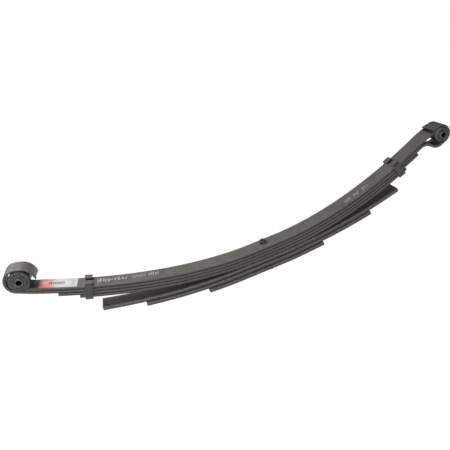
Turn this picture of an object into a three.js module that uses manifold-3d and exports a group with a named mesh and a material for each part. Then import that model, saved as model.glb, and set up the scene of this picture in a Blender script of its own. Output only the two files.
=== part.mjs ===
// Multi-leaf vehicle spring with an upturned rear eye and a downturned front eye.
// Units are millimetres. X runs along the spring with the front eye at +X, Y runs
// across the leaves and Z points up. The origin is on the top face of the main leaf,
// at the axis of the centre bolt.
//
// Every leaf is a flat bar bent to a line: a middle line in the XZ plane is thickened
// to a side outline, and the outline is extruded across the width with rounded edges.

import * as THREE from "three";
import { mergeVertices } from "three/addons/utils/BufferGeometryUtils.js";
import Module from "manifold-3d";

// Leaf stock
const LEAF_WIDTH = 50;
const THIN_THICKNESS = 8.35;
const THICK_THICKNESS = 13.35;
const THIN_EDGE_RADIUS = 2.2;
const THICK_EDGE_RADIUS = 4;
const LEAF_GAP = 0.3;
const STATION_STEP = 30;

// Camber of the main leaf's top face: flat over the axle seat, then rising by
// `rise` at `reach` from the centre bolt as a power of the distance
const SEAT_LENGTH = 90;
const REAR_CAMBER = { reach: 600, rise: 144.7, power: 1.75 };
const FRONT_CAMBER = { reach: 500, rise: 118.9, power: 1.853 };

// Where each cambered run stops and the bend towards the eye starts
const REAR_RUN = 578;
const FRONT_RUN = 500;

// Eyes: how far the bore's axis lies ahead of the end of the run, how far the leaf
// bends aside before it meets the roll, the diameters of the bore, of the bush's
// flange and of the steel sleeve, and how far the tip is rolled round
const REAR_EYE = { ahead: 51, aside: 2.6, bore: 36, flange: 59, sleeve: 21.5, roll: 306 };
const FRONT_EYE = { ahead: 49.4, aside: 6.7, bore: 23, flange: 40, sleeve: 18, roll: 302 };

// Wrapper ends of the second leaf. The rear one stands off the main leaf's eye by
// `bow` at the side and by `tipOpening` at the tip. The front one stops its run
// `setback` before the main leaf's, sags under the eye and ends in a straight tail.
const WRAP_GAP = 0.4;
const REAR_WRAP = { roll: 255, tipThickness: 4.8, bow: 6, tipOpening: 9.5 };
const FRONT_WRAP = {
  setback: 13.2, bendRadius: 26.5, sagBack: 12.4, sagDown: 5.6, tipThickness: 6.8, tail: 19,
};

// Reach of the plain leaves each way along X from the centre bolt
const THIRD_LEAF = { rear: 549, front: 481 };
const FOURTH_LEAF = { rear: 503, front: 440 };
const UPPER_HELPER = { rear: 465, front: 405 };
const MIDDLE_HELPER = { rear: 356, front: 314 };
const LOWER_HELPER = { rear: 186, front: 161 };

// The helper leaves lie against the stack up to `contact` from the centre bolt and
// part from it beyond, until the upper one's end stands `most` below the fourth leaf
const REAR_OPENING = { contact: 60, most: 33, power: 1.14 };
const FRONT_OPENING = { contact: 106, most: 26.5, power: 1.34 };

// Centre bolt and nut
const BOLT_DIAMETER = 10;
const BOLT_HEAD_DIAMETER = 17.5;
const BOLT_HEAD_HEIGHT = 10.5;
const BOLT_END_LENGTH = 3;
const BOLT_CLEARANCE = 0.4;
const NUT_ACROSS_FLATS = 17;
const NUT_HEIGHT = 8.4;

// Clips round leaves one to four, each riveted under the fourth leaf
const CLIP_WIDTH = 19.5;
const CLIP_THICKNESS = 4;
const CLIP_SIDE_CLEARANCE = 0.8;
const CLIP_TOP_CLEARANCE = 3.2;
const CLIP_TAB_LENGTH = 24;
const CLIP_BEND_RADIUS = 4;
const REAR_CLIP_X = -470.4;
const FRONT_CLIP_X = 411.5;
const RIVET_DIAMETER = 8;
const RIVET_HEAD_DIAMETER = 14;
const RIVET_HEAD_HEIGHT = 4.5;
const RIVET_SINK_DEPTH = 3;
const RIVET_CLEARANCE = 0.3;

// Bushes and their steel sleeves
const SLEEVE_BORE = 14.2;
const SLEEVE_LENGTH = 70;
const SLEEVE_CHAMFER = 0.8;
const BUSH_CLEARANCE = 0.3;
const BUSH_SPLIT = 0.6;
const FLANGE_THICKNESS = 5;
const FLANGE_EDGE_RADIUS = 2;
const COLLAR_HEIGHT = 2.4;

// Paper label on the main leaf
const LABEL = { from: -584, to: -496.5, width: 47, thickness: 0.35, gap: 0.3 };

const ROUND_SEGMENTS = 28;
const EYE_STEP_ANGLE = THREE.MathUtils.degToRad(12);

const PAINT = { color: 0x6b6a67, roughness: 0.52, metalness: 0.25 };
const STEEL = { color: 0x8a8883, roughness: 0.4, metalness: 0.8 };
const RUBBER = { color: 0x3b3a39, roughness: 0.85, metalness: 0 };
const PAPER = { color: 0xe9c9c4, roughness: 0.6, metalness: 0 };

// Heights and depths of the stack, measured down from the main leaf's top face
const THIN_PITCH = THIN_THICKNESS + LEAF_GAP;
const THICK_PITCH = THICK_THICKNESS + LEAF_GAP;
const MAIN_STACK_DEPTH = 4 * THIN_PITCH - LEAF_GAP;
const HELPER_TOP_DEPTH = 4 * THIN_PITCH;
const STACK_DEPTH = HELPER_TOP_DEPTH + 3 * THICK_PITCH - LEAF_GAP;

const wasm = await Module();
wasm.setup();

// Camber line of the stack

function camberHeight(x) {
  const side = x < 0 ? REAR_CAMBER : FRONT_CAMBER;
  const flat = SEAT_LENGTH / 2;
  const run = Math.max(0, Math.abs(x) - flat);
  return side.rise * (run / (side.reach - flat)) ** side.power;
}

function camberSlope(x) {
  const half = 0.5;
  return (camberHeight(x + half) - camberHeight(x - half)) / (2 * half);
}

// Point at a depth below the main leaf's top face, square to that face
function stackPoint(x, depth) {
  const slope = camberSlope(x);
  const length = Math.hypot(1, slope);
  return new THREE.Vector2(x + (depth * slope) / length, camberHeight(x) - depth / length);
}

// How far the helper pack has parted from the fourth leaf
function helperOpening(x) {
  const { contact, most, power } = x < 0 ? REAR_OPENING : FRONT_OPENING;
  const tip = x < 0 ? UPPER_HELPER.rear : UPPER_HELPER.front;
  const run = Math.max(0, Math.abs(x) - contact);
  return most * (run / (tip - contact)) ** power;
}

// Camber line station whose point at the given depth lies at `reach` along X
function stationAt(reach, depthAt) {
  let x = reach;
  for (let i = 0; i < 6; i += 1) {
    x += reach - stackPoint(x, depthAt(x)).x;
  }
  return x;
}

// Middle line from the rear end to the front end. The flat over the seat is one
// straight step, so that the seat is a true flat face.
function runLine(rear, front, depthAt) {
  const flat = SEAT_LENGTH / 2;
  const rearSteps = Math.max(2, Math.round((rear - flat) / STATION_STEP));
  const frontSteps = Math.max(2, Math.round((front - flat) / STATION_STEP));
  const stations = [];
  for (let i = 0; i <= rearSteps; i += 1) {
    stations.push(-rear + ((rear - flat) * i) / rearSteps);
  }
  for (let i = 0; i <= frontSteps; i += 1) {
    stations.push(flat + ((front - flat) * i) / frontSteps);
  }
  return stations.map((x) => stackPoint(x, depthAt(x)));
}

// Bends

// Points round a centre, starting after `start` and turning by `turn` radians.
// `radiusAt` gives the radius from the share of the turn that is done.
function arcPoints(centre, start, turn, radiusAt) {
  const steps = Math.max(2, Math.ceil(Math.abs(turn) / EYE_STEP_ANGLE));
  const points = [];
  for (let i = 1; i <= steps; i += 1) {
    const share = i / steps;
    const angle = start + turn * share;
    const radius = radiusAt(share);
    const x = centre.x + radius * Math.cos(angle);
    const z = centre.y + radius * Math.sin(angle);
    points.push(new THREE.Vector2(x, z));
  }
  return points;
}

// A long gentle arc that leaves `from` along `heading` and runs smoothly into the
// circle of the given radius round the eye. `side` is +1 when the bar turns to its
// left and -1 when it turns to its right.
function leadArc(from, heading, eye, radius, side) {
  const across = new THREE.Vector2(-heading.y, heading.x).multiplyScalar(side);
  const toEye = eye.clone().sub(from);
  const ahead = toEye.dot(heading);
  const aside = toEye.dot(across);
  const leadRadius = (ahead ** 2 + aside ** 2 - radius ** 2) / (2 * (aside - radius));
  const centre = from.clone().addScaledVector(across, leadRadius);
  const turn = side * Math.atan2(ahead, leadRadius - aside);
  const start = Math.atan2(from.y - centre.y, from.x - centre.x);
  const contact = start + turn;
  return { points: arcPoints(centre, start, turn, () => leadRadius), contact };
}

// Lead arc and then a roll round the eye. `opening` gives how far the roll stands off
// the round of the given radius, from the share of the roll that is done.
function rollIntoEye(from, heading, eye, radius, side, roll, opening = () => 0) {
  const { points, contact } = leadArc(from, heading, eye, radius, side);
  const radiusAt = (share) => radius + opening(share);
  return { lead: points, roll: arcPoints(eye, contact, side * roll, radiusAt) };
}

// For a bar that bends down from its stack, runs straight, and hangs under the eye
// like a slack belt: it goes round a first centre that lies `sagBack` and `sagDown`
// from the eye's axis, then round the axis itself, and ends in a straight tail on the
// leaf that it met. `radiusAt` gives its radius from the share of the last round.
function dipUnderEye(from, heading, axis, wrap, landing, radiusAt) {
  const { bendRadius, sagBack, sagDown, tail } = wrap;
  const sag = axis.clone().add(new THREE.Vector2(-sagBack, -sagDown));
  const radius = radiusAt(0);
  const down = new THREE.Vector2(heading.y, -heading.x);
  const bendCentre = from.clone().addScaledVector(down, bendRadius);
  const between = sag.clone().sub(bendCentre);
  const crossing = Math.asin((bendRadius + radius) / between.length());
  const line = Math.atan2(between.y, between.x) - crossing;
  const start = Math.atan2(from.y - bendCentre.y, from.x - bendCentre.x);
  const first = Math.atan2(heading.y, heading.x);
  const bend = arcPoints(bendCentre, start, line - first, () => bendRadius);
  const contact = line - Math.PI / 2;
  const parting = Math.atan2(sagDown, sagBack) - Math.PI / 2;
  const touch = new THREE.Vector2(Math.cos(contact), Math.sin(contact));
  const under = arcPoints(sag, contact, parting - contact, () => radius);
  const rise = new THREE.Vector2(Math.cos(parting), Math.sin(parting));
  const meet = axis.clone().addScaledVector(rise, radius);
  const round = arcPoints(axis, parting, landing - parting, radiusAt);
  const back = new THREE.Vector2(-Math.sin(landing), Math.cos(landing));
  const end = round[round.length - 1].clone().addScaledVector(back, tail);
  const straight = [...bend, sag.clone().addScaledVector(touch, radius), ...under, meet];
  return { straight, round: [...round, end] };
}

// Solids

// Side outline of a bar along a middle line, with its thickness at each point
function barShape(line, thicknessAt) {
  const upper = [];
  const lower = [];
  line.forEach((point, i) => {
    const before = line[Math.max(0, i - 1)];
    const after = line[Math.min(line.length - 1, i + 1)];
    const along = after.clone().sub(before).normalize();
    const half = thicknessAt(i) / 2;
    upper.push(new THREE.Vector2(point.x - along.y * half, point.y + along.x * half));
    lower.push(new THREE.Vector2(point.x + along.y * half, point.y - along.x * half));
  });
  return new THREE.Shape([...lower, ...upper.reverse()]);
}

// Extrudes a side outline across the spring, with its edges rounded
function acrossSpring(shape, width, edgeRadius, edgeSteps = 1) {
  const geometry = new THREE.ExtrudeGeometry(shape, {
    depth: width - 2 * edgeRadius,
    steps: 1,
    bevelEnabled: edgeRadius > 0,
    bevelThickness: edgeRadius,
    bevelSize: edgeRadius,
    bevelOffset: -edgeRadius,
    bevelSegments: edgeSteps,
  });
  geometry.rotateX(Math.PI / 2);
  geometry.translate(0, width / 2 - edgeRadius, 0);
  return geometry;
}

function toManifold(geometry) {
  const bare = geometry.clone();
  bare.deleteAttribute("normal");
  bare.deleteAttribute("uv");
  const welded = mergeVertices(bare, 1e-4);
  const vertProperties = new Float32Array(welded.attributes.position.array);
  const triVerts = new Uint32Array(welded.index.array);
  return new wasm.Manifold(new wasm.Mesh({ numProp: 3, vertProperties, triVerts }));
}

function fromManifold(solid) {
  const mesh = solid.getMesh();
  const geometry = new THREE.BufferGeometry();
  const position = new THREE.BufferAttribute(new Float32Array(mesh.vertProperties), 3);
  geometry.setAttribute("position", position);
  geometry.setIndex(new THREE.BufferAttribute(new Uint32Array(mesh.triVerts), 1));
  const faceted = geometry.toNonIndexed();
  faceted.computeVertexNormals();
  return faceted;
}

function cut(geometry, cutters) {
  let solid = toManifold(geometry);
  for (const cutter of cutters) {
    solid = solid.subtract(toManifold(cutter));
  }
  return fromManifold(solid);
}

// Round piece from a profile of (radius, height) points, turned about Z
function turned(profile, segments = ROUND_SEGMENTS) {
  const points = profile.map(([radius, height]) => new THREE.Vector2(radius, height));
  const geometry = new THREE.LatheGeometry(points, segments);
  geometry.rotateX(Math.PI / 2);
  return geometry;
}

function named(name, geometry, finish) {
  const mesh = new THREE.Mesh(geometry, new THREE.MeshStandardMaterial(finish));
  mesh.name = name;
  return mesh;
}

// Hole through the whole stack for the centre bolt
function boltHole() {
  const radius = BOLT_DIAMETER / 2 + BOLT_CLEARANCE;
  const hole = new THREE.CylinderGeometry(radius, radius, 2 * STACK_DEPTH, ROUND_SEGMENTS);
  hole.rotateX(Math.PI / 2);
  hole.translate(0, 0, -STACK_DEPTH / 2);
  return hole;
}

// Leaves

const thin = () => THIN_THICKNESS;

function headingAt(x, towards) {
  return new THREE.Vector2(1, camberSlope(x)).normalize().multiplyScalar(towards);
}

// Axis of an eye, set out from the end of the main leaf's run
function eyePlace(x, towards, eye) {
  const heading = headingAt(x, towards);
  const across = new THREE.Vector2(heading.y, -heading.x);
  const aside = eye.bore / 2 + THIN_THICKNESS / 2 + eye.aside;
  const end = stackPoint(x, THIN_THICKNESS / 2);
  return end.addScaledVector(heading, eye.ahead).addScaledVector(across, aside);
}

const rearEye = eyePlace(-REAR_RUN, -1, REAR_EYE);
const frontEye = eyePlace(FRONT_RUN, 1, FRONT_EYE);

function mainLeaf() {
  const depth = THIN_THICKNESS / 2;
  const run = runLine(REAR_RUN, FRONT_RUN, () => depth);
  const rearRadius = REAR_EYE.bore / 2 + depth;
  const frontRadius = FRONT_EYE.bore / 2 + depth;
  const rearRoll = THREE.MathUtils.degToRad(REAR_EYE.roll);
  const frontRoll = THREE.MathUtils.degToRad(FRONT_EYE.roll);
  const rear = rollIntoEye(run[0], headingAt(-REAR_RUN, -1), rearEye, rearRadius, -1, rearRoll);
  const last = run[run.length - 1];
  const front = rollIntoEye(last, headingAt(FRONT_RUN, 1), frontEye, frontRadius, -1, frontRoll);
  const rearEnd = [...rear.lead, ...rear.roll].reverse();
  const line = [...rearEnd, ...run, ...front.lead, ...front.roll];
  const body = acrossSpring(barShape(line, thin), LEAF_WIDTH, THIN_EDGE_RADIUS);
  return named("main_leaf", cut(body, [boltHole()]), PAINT);
}

// The rear wrap thins towards its tip over the first three quarters of its roll
function rearWrapThickness(share) {
  const thinned = Math.min(1, share / 0.75);
  return THREE.MathUtils.lerp(THIN_THICKNESS, REAR_WRAP.tipThickness, thinned);
}

// How far the middle of the rear wrap lies outside the middle of a bar of full
// thickness laid tight round the eye: bowed out at the side, near at the top, and
// open at the tip
function rearWrapOpening(share) {
  const bow = REAR_WRAP.bow * Math.sin(Math.PI * Math.min(1, share / 0.62));
  const tip = REAR_WRAP.tipOpening * Math.max(0, (share - 0.66) / 0.34) ** 1.2;
  return bow + tip + (rearWrapThickness(share) - THIN_THICKNESS) / 2;
}

function wrapperLeaf() {
  const depth = THIN_PITCH + THIN_THICKNESS / 2;
  const frontRun = FRONT_RUN - FRONT_WRAP.setback;
  const run = runLine(REAR_RUN, frontRun, () => depth);
  const around = THIN_THICKNESS + WRAP_GAP;
  const rearRadius = REAR_EYE.bore / 2 + around + THIN_THICKNESS / 2;
  const rearRoll = THREE.MathUtils.degToRad(REAR_WRAP.roll);
  const rearHeading = headingAt(-REAR_RUN, -1);
  const rear = rollIntoEye(run[0], rearHeading, rearEye, rearRadius, -1, rearRoll, rearWrapOpening);
  const mainEnd = stackPoint(FRONT_RUN, THIN_THICKNESS / 2);
  const mainRadius = FRONT_EYE.bore / 2 + THIN_THICKNESS / 2;
  const landing = leadArc(mainEnd, headingAt(FRONT_RUN, 1), frontEye, mainRadius, -1).contact;
  const last = run[run.length - 1];
  const frontHeading = headingAt(frontRun, 1);
  const frontThickness = (share) => THREE.MathUtils.lerp(THIN_THICKNESS, FRONT_WRAP.tipThickness, share);
  const frontRadius = (share) => FRONT_EYE.bore / 2 + around + frontThickness(share) / 2;
  const front = dipUnderEye(last, frontHeading, frontEye, FRONT_WRAP, landing, frontRadius);
  const rearEnd = [...rear.lead, ...rear.roll].reverse();
  const line = [...rearEnd, ...run, ...front.straight, ...front.round];
  const rearCount = rear.roll.length;
  const frontStart = line.length - front.round.length;
  const thicknessAt = (i) => {
    const done = Math.min(1, Math.max(0, (i - frontStart) / (front.round.length - 2)));
    return i < rearCount ? rearWrapThickness((rearCount - i) / rearCount) : frontThickness(done);
  };
  const body = acrossSpring(barShape(line, thicknessAt), LEAF_WIDTH, THIN_EDGE_RADIUS);
  return named("wrapper_leaf", cut(body, [boltHole()]), PAINT);
}

function leafLine(leaf, depthAt) {
  return runLine(-stationAt(-leaf.rear, depthAt), stationAt(leaf.front, depthAt), depthAt);
}

function plainLeaf(name, leaf, place, cutters = []) {
  const depth = place * THIN_PITCH + THIN_THICKNESS / 2;
  const shape = barShape(leafLine(leaf, () => depth), thin);
  const body = acrossSpring(shape, LEAF_WIDTH, THIN_EDGE_RADIUS);
  return named(name, cut(body, [boltHole(), ...cutters]), PAINT);
}

function helperLeaf(name, leaf, place) {
  const depth = HELPER_TOP_DEPTH + place * THICK_PITCH + THICK_THICKNESS / 2;
  const line = leafLine(leaf, (x) => depth + helperOpening(x));
  const shape = barShape(line, () => THICK_THICKNESS);
  const body = acrossSpring(shape, LEAF_WIDTH, THICK_EDGE_RADIUS, 2);
  return named(name, cut(body, [boltHole()]), PAINT);
}

// Clips and rivets: built about a local origin on the fourth leaf's lower face,
// with local X along the leaf, then placed and turned on the camber line

function clipPlace(x) {
  const at = stackPoint(x, MAIN_STACK_DEPTH);
  return { position: new THREE.Vector3(at.x, 0, at.y), tilt: -Math.atan(camberSlope(x)) };
}

function place(mesh, x) {
  const { position, tilt } = clipPlace(x);
  mesh.position.copy(position);
  mesh.rotation.y = tilt;
  return mesh;
}

// Bent strap seen along the leaf: a U under the stack with both ends folded over
function clipShape() {
  const halfInside = LEAF_WIDTH / 2 + CLIP_SIDE_CLEARANCE;
  const halfOutside = halfInside + CLIP_THICKNESS;
  const floor = -LEAF_GAP;
  const ceiling = MAIN_STACK_DEPTH + CLIP_TOP_CLEARANCE;
  const outer = CLIP_BEND_RADIUS + CLIP_THICKNESS * 0.5;
  const inner = CLIP_BEND_RADIUS * 0.5;
  const tab = halfOutside - CLIP_TAB_LENGTH;
  const shape = new THREE.Shape();
  shape.moveTo(tab, ceiling);
  shape.lineTo(tab, ceiling + CLIP_THICKNESS);
  shape.lineTo(halfOutside - outer, ceiling + CLIP_THICKNESS);
  shape.absarc(halfOutside - outer, ceiling + CLIP_THICKNESS - outer, outer, Math.PI / 2, 0, true);
  shape.lineTo(halfOutside, floor - CLIP_THICKNESS + outer);
  shape.absarc(halfOutside - outer, floor - CLIP_THICKNESS + outer, outer, 0, -Math.PI / 2, true);
  shape.lineTo(-halfOutside + outer, floor - CLIP_THICKNESS);
  shape.absarc(-halfOutside + outer, floor - CLIP_THICKNESS + outer, outer, -Math.PI / 2, -Math.PI, true);
  shape.lineTo(-halfOutside, ceiling + CLIP_THICKNESS - outer);
  shape.absarc(-halfOutside + outer, ceiling + CLIP_THICKNESS - outer, outer, Math.PI, Math.PI / 2, true);
  shape.lineTo(-tab, ceiling + CLIP_THICKNESS);
  shape.lineTo(-tab, ceiling);
  shape.lineTo(-halfInside + inner, ceiling);
  shape.absarc(-halfInside + inner, ceiling - inner, inner, Math.PI / 2, Math.PI, false);
  shape.lineTo(-halfInside, floor + inner);
  shape.absarc(-halfInside + inner, floor + inner, inner, Math.PI, 1.5 * Math.PI, false);
  shape.lineTo(halfInside - inner, floor);
  shape.absarc(halfInside - inner, floor + inner, inner, -Math.PI / 2, 0, false);
  shape.lineTo(halfInside, ceiling - inner);
  shape.absarc(halfInside - inner, ceiling - inner, inner, 0, Math.PI / 2, false);
  shape.closePath();
  return shape;
}

function rivetHole(height, depth) {
  const radius = RIVET_DIAMETER / 2 + RIVET_CLEARANCE;
  const hole = new THREE.CylinderGeometry(radius, radius, height + depth, ROUND_SEGMENTS);
  hole.rotateX(Math.PI / 2);
  hole.translate(0, 0, (height - depth) / 2);
  return hole;
}

// Countersunk rivet hole of the fourth leaf, in the spring's own frame
function leafRivetHole(x) {
  const grow = RIVET_CLEARANCE;
  const shank = RIVET_DIAMETER / 2 + grow;
  const mouth = RIVET_HEAD_DIAMETER / 2 + grow;
  const top = THIN_THICKNESS;
  const profile = [
    [0, -LEAF_GAP * 2 - CLIP_THICKNESS],
    [shank, -LEAF_GAP * 2 - CLIP_THICKNESS],
    [shank, top - RIVET_SINK_DEPTH - grow],
    [mouth, top],
    [mouth, top + LEAF_GAP / 2],
    [0, top + LEAF_GAP / 2],
  ];
  const hole = turned(profile);
  const { position, tilt } = clipPlace(x);
  hole.rotateY(tilt);
  hole.translate(position.x, position.y, position.z);
  return hole;
}

function clip(name, x) {
  const edge = 0.8;
  const geometry = new THREE.ExtrudeGeometry(clipShape(), {
    depth: CLIP_WIDTH - 2 * edge,
    steps: 1,
    curveSegments: 4,
    bevelEnabled: true,
    bevelThickness: edge,
    bevelSize: edge,
    bevelOffset: -edge,
    bevelSegments: 1,
  });
  geometry.translate(0, 0, edge - CLIP_WIDTH / 2);
  geometry.rotateX(Math.PI / 2);
  geometry.rotateZ(Math.PI / 2);
  const drilled = cut(geometry, [rivetHole(2 * THIN_THICKNESS, 2 * THIN_THICKNESS)]);
  return place(named(name, drilled, PAINT), x);
}

function rivet(name, x) {
  const shank = RIVET_DIAMETER / 2;
  const head = RIVET_HEAD_DIAMETER / 2;
  const base = -2 * LEAF_GAP - CLIP_THICKNESS;
  const profile = [
    [0, base - RIVET_HEAD_HEIGHT],
    [head * 0.55, base - RIVET_HEAD_HEIGHT * 0.88],
    [head * 0.88, base - RIVET_HEAD_HEIGHT * 0.5],
    [head, base],
    [shank, base],
    [shank, THIN_THICKNESS - RIVET_SINK_DEPTH],
    [head, THIN_THICKNESS],
    [0, THIN_THICKNESS],
  ];
  return place(named(name, turned(profile, 24), PAINT), x);
}

// Centre bolt and nut

function centreBolt() {
  const shank = BOLT_DIAMETER / 2;
  const head = BOLT_HEAD_DIAMETER / 2;
  const end = -STACK_DEPTH - LEAF_GAP - NUT_HEIGHT - BOLT_END_LENGTH;
  const profile = [
    [0, end],
    [shank - 1, end],
    [shank, end + 1],
    [shank, LEAF_GAP],
    [head, LEAF_GAP],
    [head, BOLT_HEAD_HEIGHT - 1.6],
    [head - 0.5, BOLT_HEAD_HEIGHT - 0.5],
    [head - 1.6, BOLT_HEAD_HEIGHT],
    [0, BOLT_HEAD_HEIGHT],
  ];
  return named("centre_bolt", turned(profile), STEEL);
}

function centreNut() {
  const radius = NUT_ACROSS_FLATS / Math.sqrt(3);
  const prism = new THREE.CylinderGeometry(radius, radius, NUT_HEIGHT, 6);
  prism.rotateX(Math.PI / 2);
  const crown = turned([
    [0, -NUT_HEIGHT / 2],
    [NUT_ACROSS_FLATS / 2, -NUT_HEIGHT / 2],
    [radius + 0.5, -NUT_HEIGHT / 2 + 1.4],
    [radius + 0.5, NUT_HEIGHT / 2 - 1.4],
    [NUT_ACROSS_FLATS / 2, NUT_HEIGHT / 2],
    [0, NUT_HEIGHT / 2],
  ]);
  const bore = BOLT_DIAMETER / 2 + LEAF_GAP;
  const hole = new THREE.CylinderGeometry(bore, bore, 2 * NUT_HEIGHT, ROUND_SEGMENTS);
  hole.rotateX(Math.PI / 2);
  const solid = toManifold(prism).intersect(toManifold(crown)).subtract(toManifold(hole));
  const nut = named("centre_nut", fromManifold(solid), STEEL);
  nut.position.z = -STACK_DEPTH - LEAF_GAP - NUT_HEIGHT / 2;
  return nut;
}

// Bushes and sleeves, turned about the axis of each eye

function bushHalf(name, eye, axis, side) {
  const inner = eye.sleeve / 2 + BUSH_CLEARANCE;
  const barrel = eye.bore / 2 - BUSH_CLEARANCE;
  const flange = eye.flange / 2;
  const seat = LEAF_WIDTH / 2 + BUSH_CLEARANCE;
  const face = seat + FLANGE_THICKNESS;
  const round = FLANGE_EDGE_RADIUS;
  const profile = [
    [inner, BUSH_SPLIT / 2],
    [barrel, BUSH_SPLIT / 2],
    [barrel, seat],
    [flange, seat],
    [flange, face - round],
    [flange - round * 0.3, face - round * 0.3],
    [flange - round, face],
    [barrel + 1, face],
    [barrel - 0.4, face + COLLAR_HEIGHT],
    [inner + 1.5, face + COLLAR_HEIGHT],
    [inner, face],
    [inner, BUSH_SPLIT / 2],
  ];
  const half = named(name, turned(profile), RUBBER);
  half.position.set(axis.x, 0, axis.y);
  half.rotation.x = (side * Math.PI) / 2;
  return half;
}

function sleeve(name, eye, axis) {
  const outer = eye.sleeve / 2;
  const bore = SLEEVE_BORE / 2;
  const half = SLEEVE_LENGTH / 2;
  const profile = [
    [bore, -half + SLEEVE_CHAMFER / 2],
    [bore + SLEEVE_CHAMFER / 2, -half],
    [outer - SLEEVE_CHAMFER, -half],
    [outer, -half + SLEEVE_CHAMFER],
    [outer, half - SLEEVE_CHAMFER],
    [outer - SLEEVE_CHAMFER, half],
    [bore + SLEEVE_CHAMFER / 2, half],
    [bore, half - SLEEVE_CHAMFER / 2],
    [bore, -half + SLEEVE_CHAMFER / 2],
  ];
  const tube = named(name, turned(profile), STEEL);
  tube.position.set(axis.x, 0, axis.y);
  tube.rotation.x = Math.PI / 2;
  return tube;
}

function label() {
  const steps = 6;
  const depth = -LABEL.gap - LABEL.thickness / 2;
  const line = [];
  for (let i = 0; i <= steps; i += 1) {
    line.push(stackPoint(LABEL.from + ((LABEL.to - LABEL.from) * i) / steps, depth));
  }
  const shape = barShape(line, () => LABEL.thickness);
  return named("label", acrossSpring(shape, LABEL.width, 0), PAPER);
}

// Assembly

const mainPack = new THREE.Group();
mainPack.add(mainLeaf(), wrapperLeaf(), plainLeaf("third_leaf", THIRD_LEAF, 2));
const rivetHoles = [leafRivetHole(REAR_CLIP_X), leafRivetHole(FRONT_CLIP_X)];
mainPack.add(plainLeaf("fourth_leaf", FOURTH_LEAF, 3, rivetHoles));

const helperPack = new THREE.Group();
helperPack.add(helperLeaf("helper_leaf_upper", UPPER_HELPER, 0));
helperPack.add(helperLeaf("helper_leaf_middle", MIDDLE_HELPER, 1));
helperPack.add(helperLeaf("helper_leaf_lower", LOWER_HELPER, 2));

const fasteners = new THREE.Group();
fasteners.add(centreBolt(), centreNut());
fasteners.add(clip("rear_clip", REAR_CLIP_X), rivet("rear_clip_rivet", REAR_CLIP_X));
fasteners.add(clip("front_clip", FRONT_CLIP_X), rivet("front_clip_rivet", FRONT_CLIP_X));

const bushes = new THREE.Group();
bushes.add(bushHalf("rear_bush_near", REAR_EYE, rearEye, 1));
bushes.add(bushHalf("rear_bush_far", REAR_EYE, rearEye, -1));
bushes.add(bushHalf("front_bush_near", FRONT_EYE, frontEye, 1));
bushes.add(bushHalf("front_bush_far", FRONT_EYE, frontEye, -1));
bushes.add(sleeve("rear_sleeve", REAR_EYE, rearEye), sleeve("front_sleeve", FRONT_EYE, frontEye));

const spring = new THREE.Group();
spring.name = "leaf_spring";
spring.add(mainPack, helperPack, fasteners, bushes, label());

export default spring;
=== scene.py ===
# %% [markdown]
# # A multi-leaf vehicle spring with bushed eyes
# The real object is a stack of flat steel bars, bent to one camber line and held by a
# centre bolt and two clips. Four thin leaves do the everyday work, and three thick
# helper leaves below them meet the stack only under load. The CAD model has every
# piece in its place already. The pieces could be remodelled by hand over it, but here
# each is worked out again from the same driving sizes with finer surfaces, so that
# all of them stay true to one another. Then each gets a finish, and the whole is lit
# like a studio photo.

import math

import bpy
import numpy as np
from mathutils import Matrix, Vector


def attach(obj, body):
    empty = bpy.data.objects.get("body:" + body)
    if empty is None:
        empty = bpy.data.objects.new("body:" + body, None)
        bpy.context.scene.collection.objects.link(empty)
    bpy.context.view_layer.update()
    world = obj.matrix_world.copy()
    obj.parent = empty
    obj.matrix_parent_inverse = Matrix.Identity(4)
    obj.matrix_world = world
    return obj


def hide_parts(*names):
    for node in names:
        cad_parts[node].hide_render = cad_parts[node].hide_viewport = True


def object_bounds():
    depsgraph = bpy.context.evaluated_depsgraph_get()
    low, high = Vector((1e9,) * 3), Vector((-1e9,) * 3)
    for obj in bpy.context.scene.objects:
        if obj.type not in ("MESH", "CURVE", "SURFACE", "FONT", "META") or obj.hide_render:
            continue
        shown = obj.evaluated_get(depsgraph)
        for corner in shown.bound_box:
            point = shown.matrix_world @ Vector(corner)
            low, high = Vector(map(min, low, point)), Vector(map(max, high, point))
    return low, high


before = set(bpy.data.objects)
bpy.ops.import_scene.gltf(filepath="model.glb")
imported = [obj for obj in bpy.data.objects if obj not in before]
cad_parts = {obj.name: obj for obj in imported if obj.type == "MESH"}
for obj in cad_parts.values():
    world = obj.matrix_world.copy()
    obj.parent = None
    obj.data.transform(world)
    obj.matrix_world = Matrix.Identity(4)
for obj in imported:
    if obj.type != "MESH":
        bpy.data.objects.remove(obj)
cad_low, cad_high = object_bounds()
print("nodes:", len(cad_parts), "CAD box:", cad_low[:], cad_high[:])

# %% [markdown]
# ## Driving sizes
# A part is easier to keep true when its shape hangs on few numbers. The sizes could
# be measured from the CAD's meshes, but a spring maker's drawing gives them as stock,
# run, rise and eye, in millimetres, and so do these. Nearly all are the CAD source's
# own numbers. Only the rounding of the edges, the trim of the bushes and the front
# tip are finer here. The last step of every piece turns them into metres.

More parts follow.
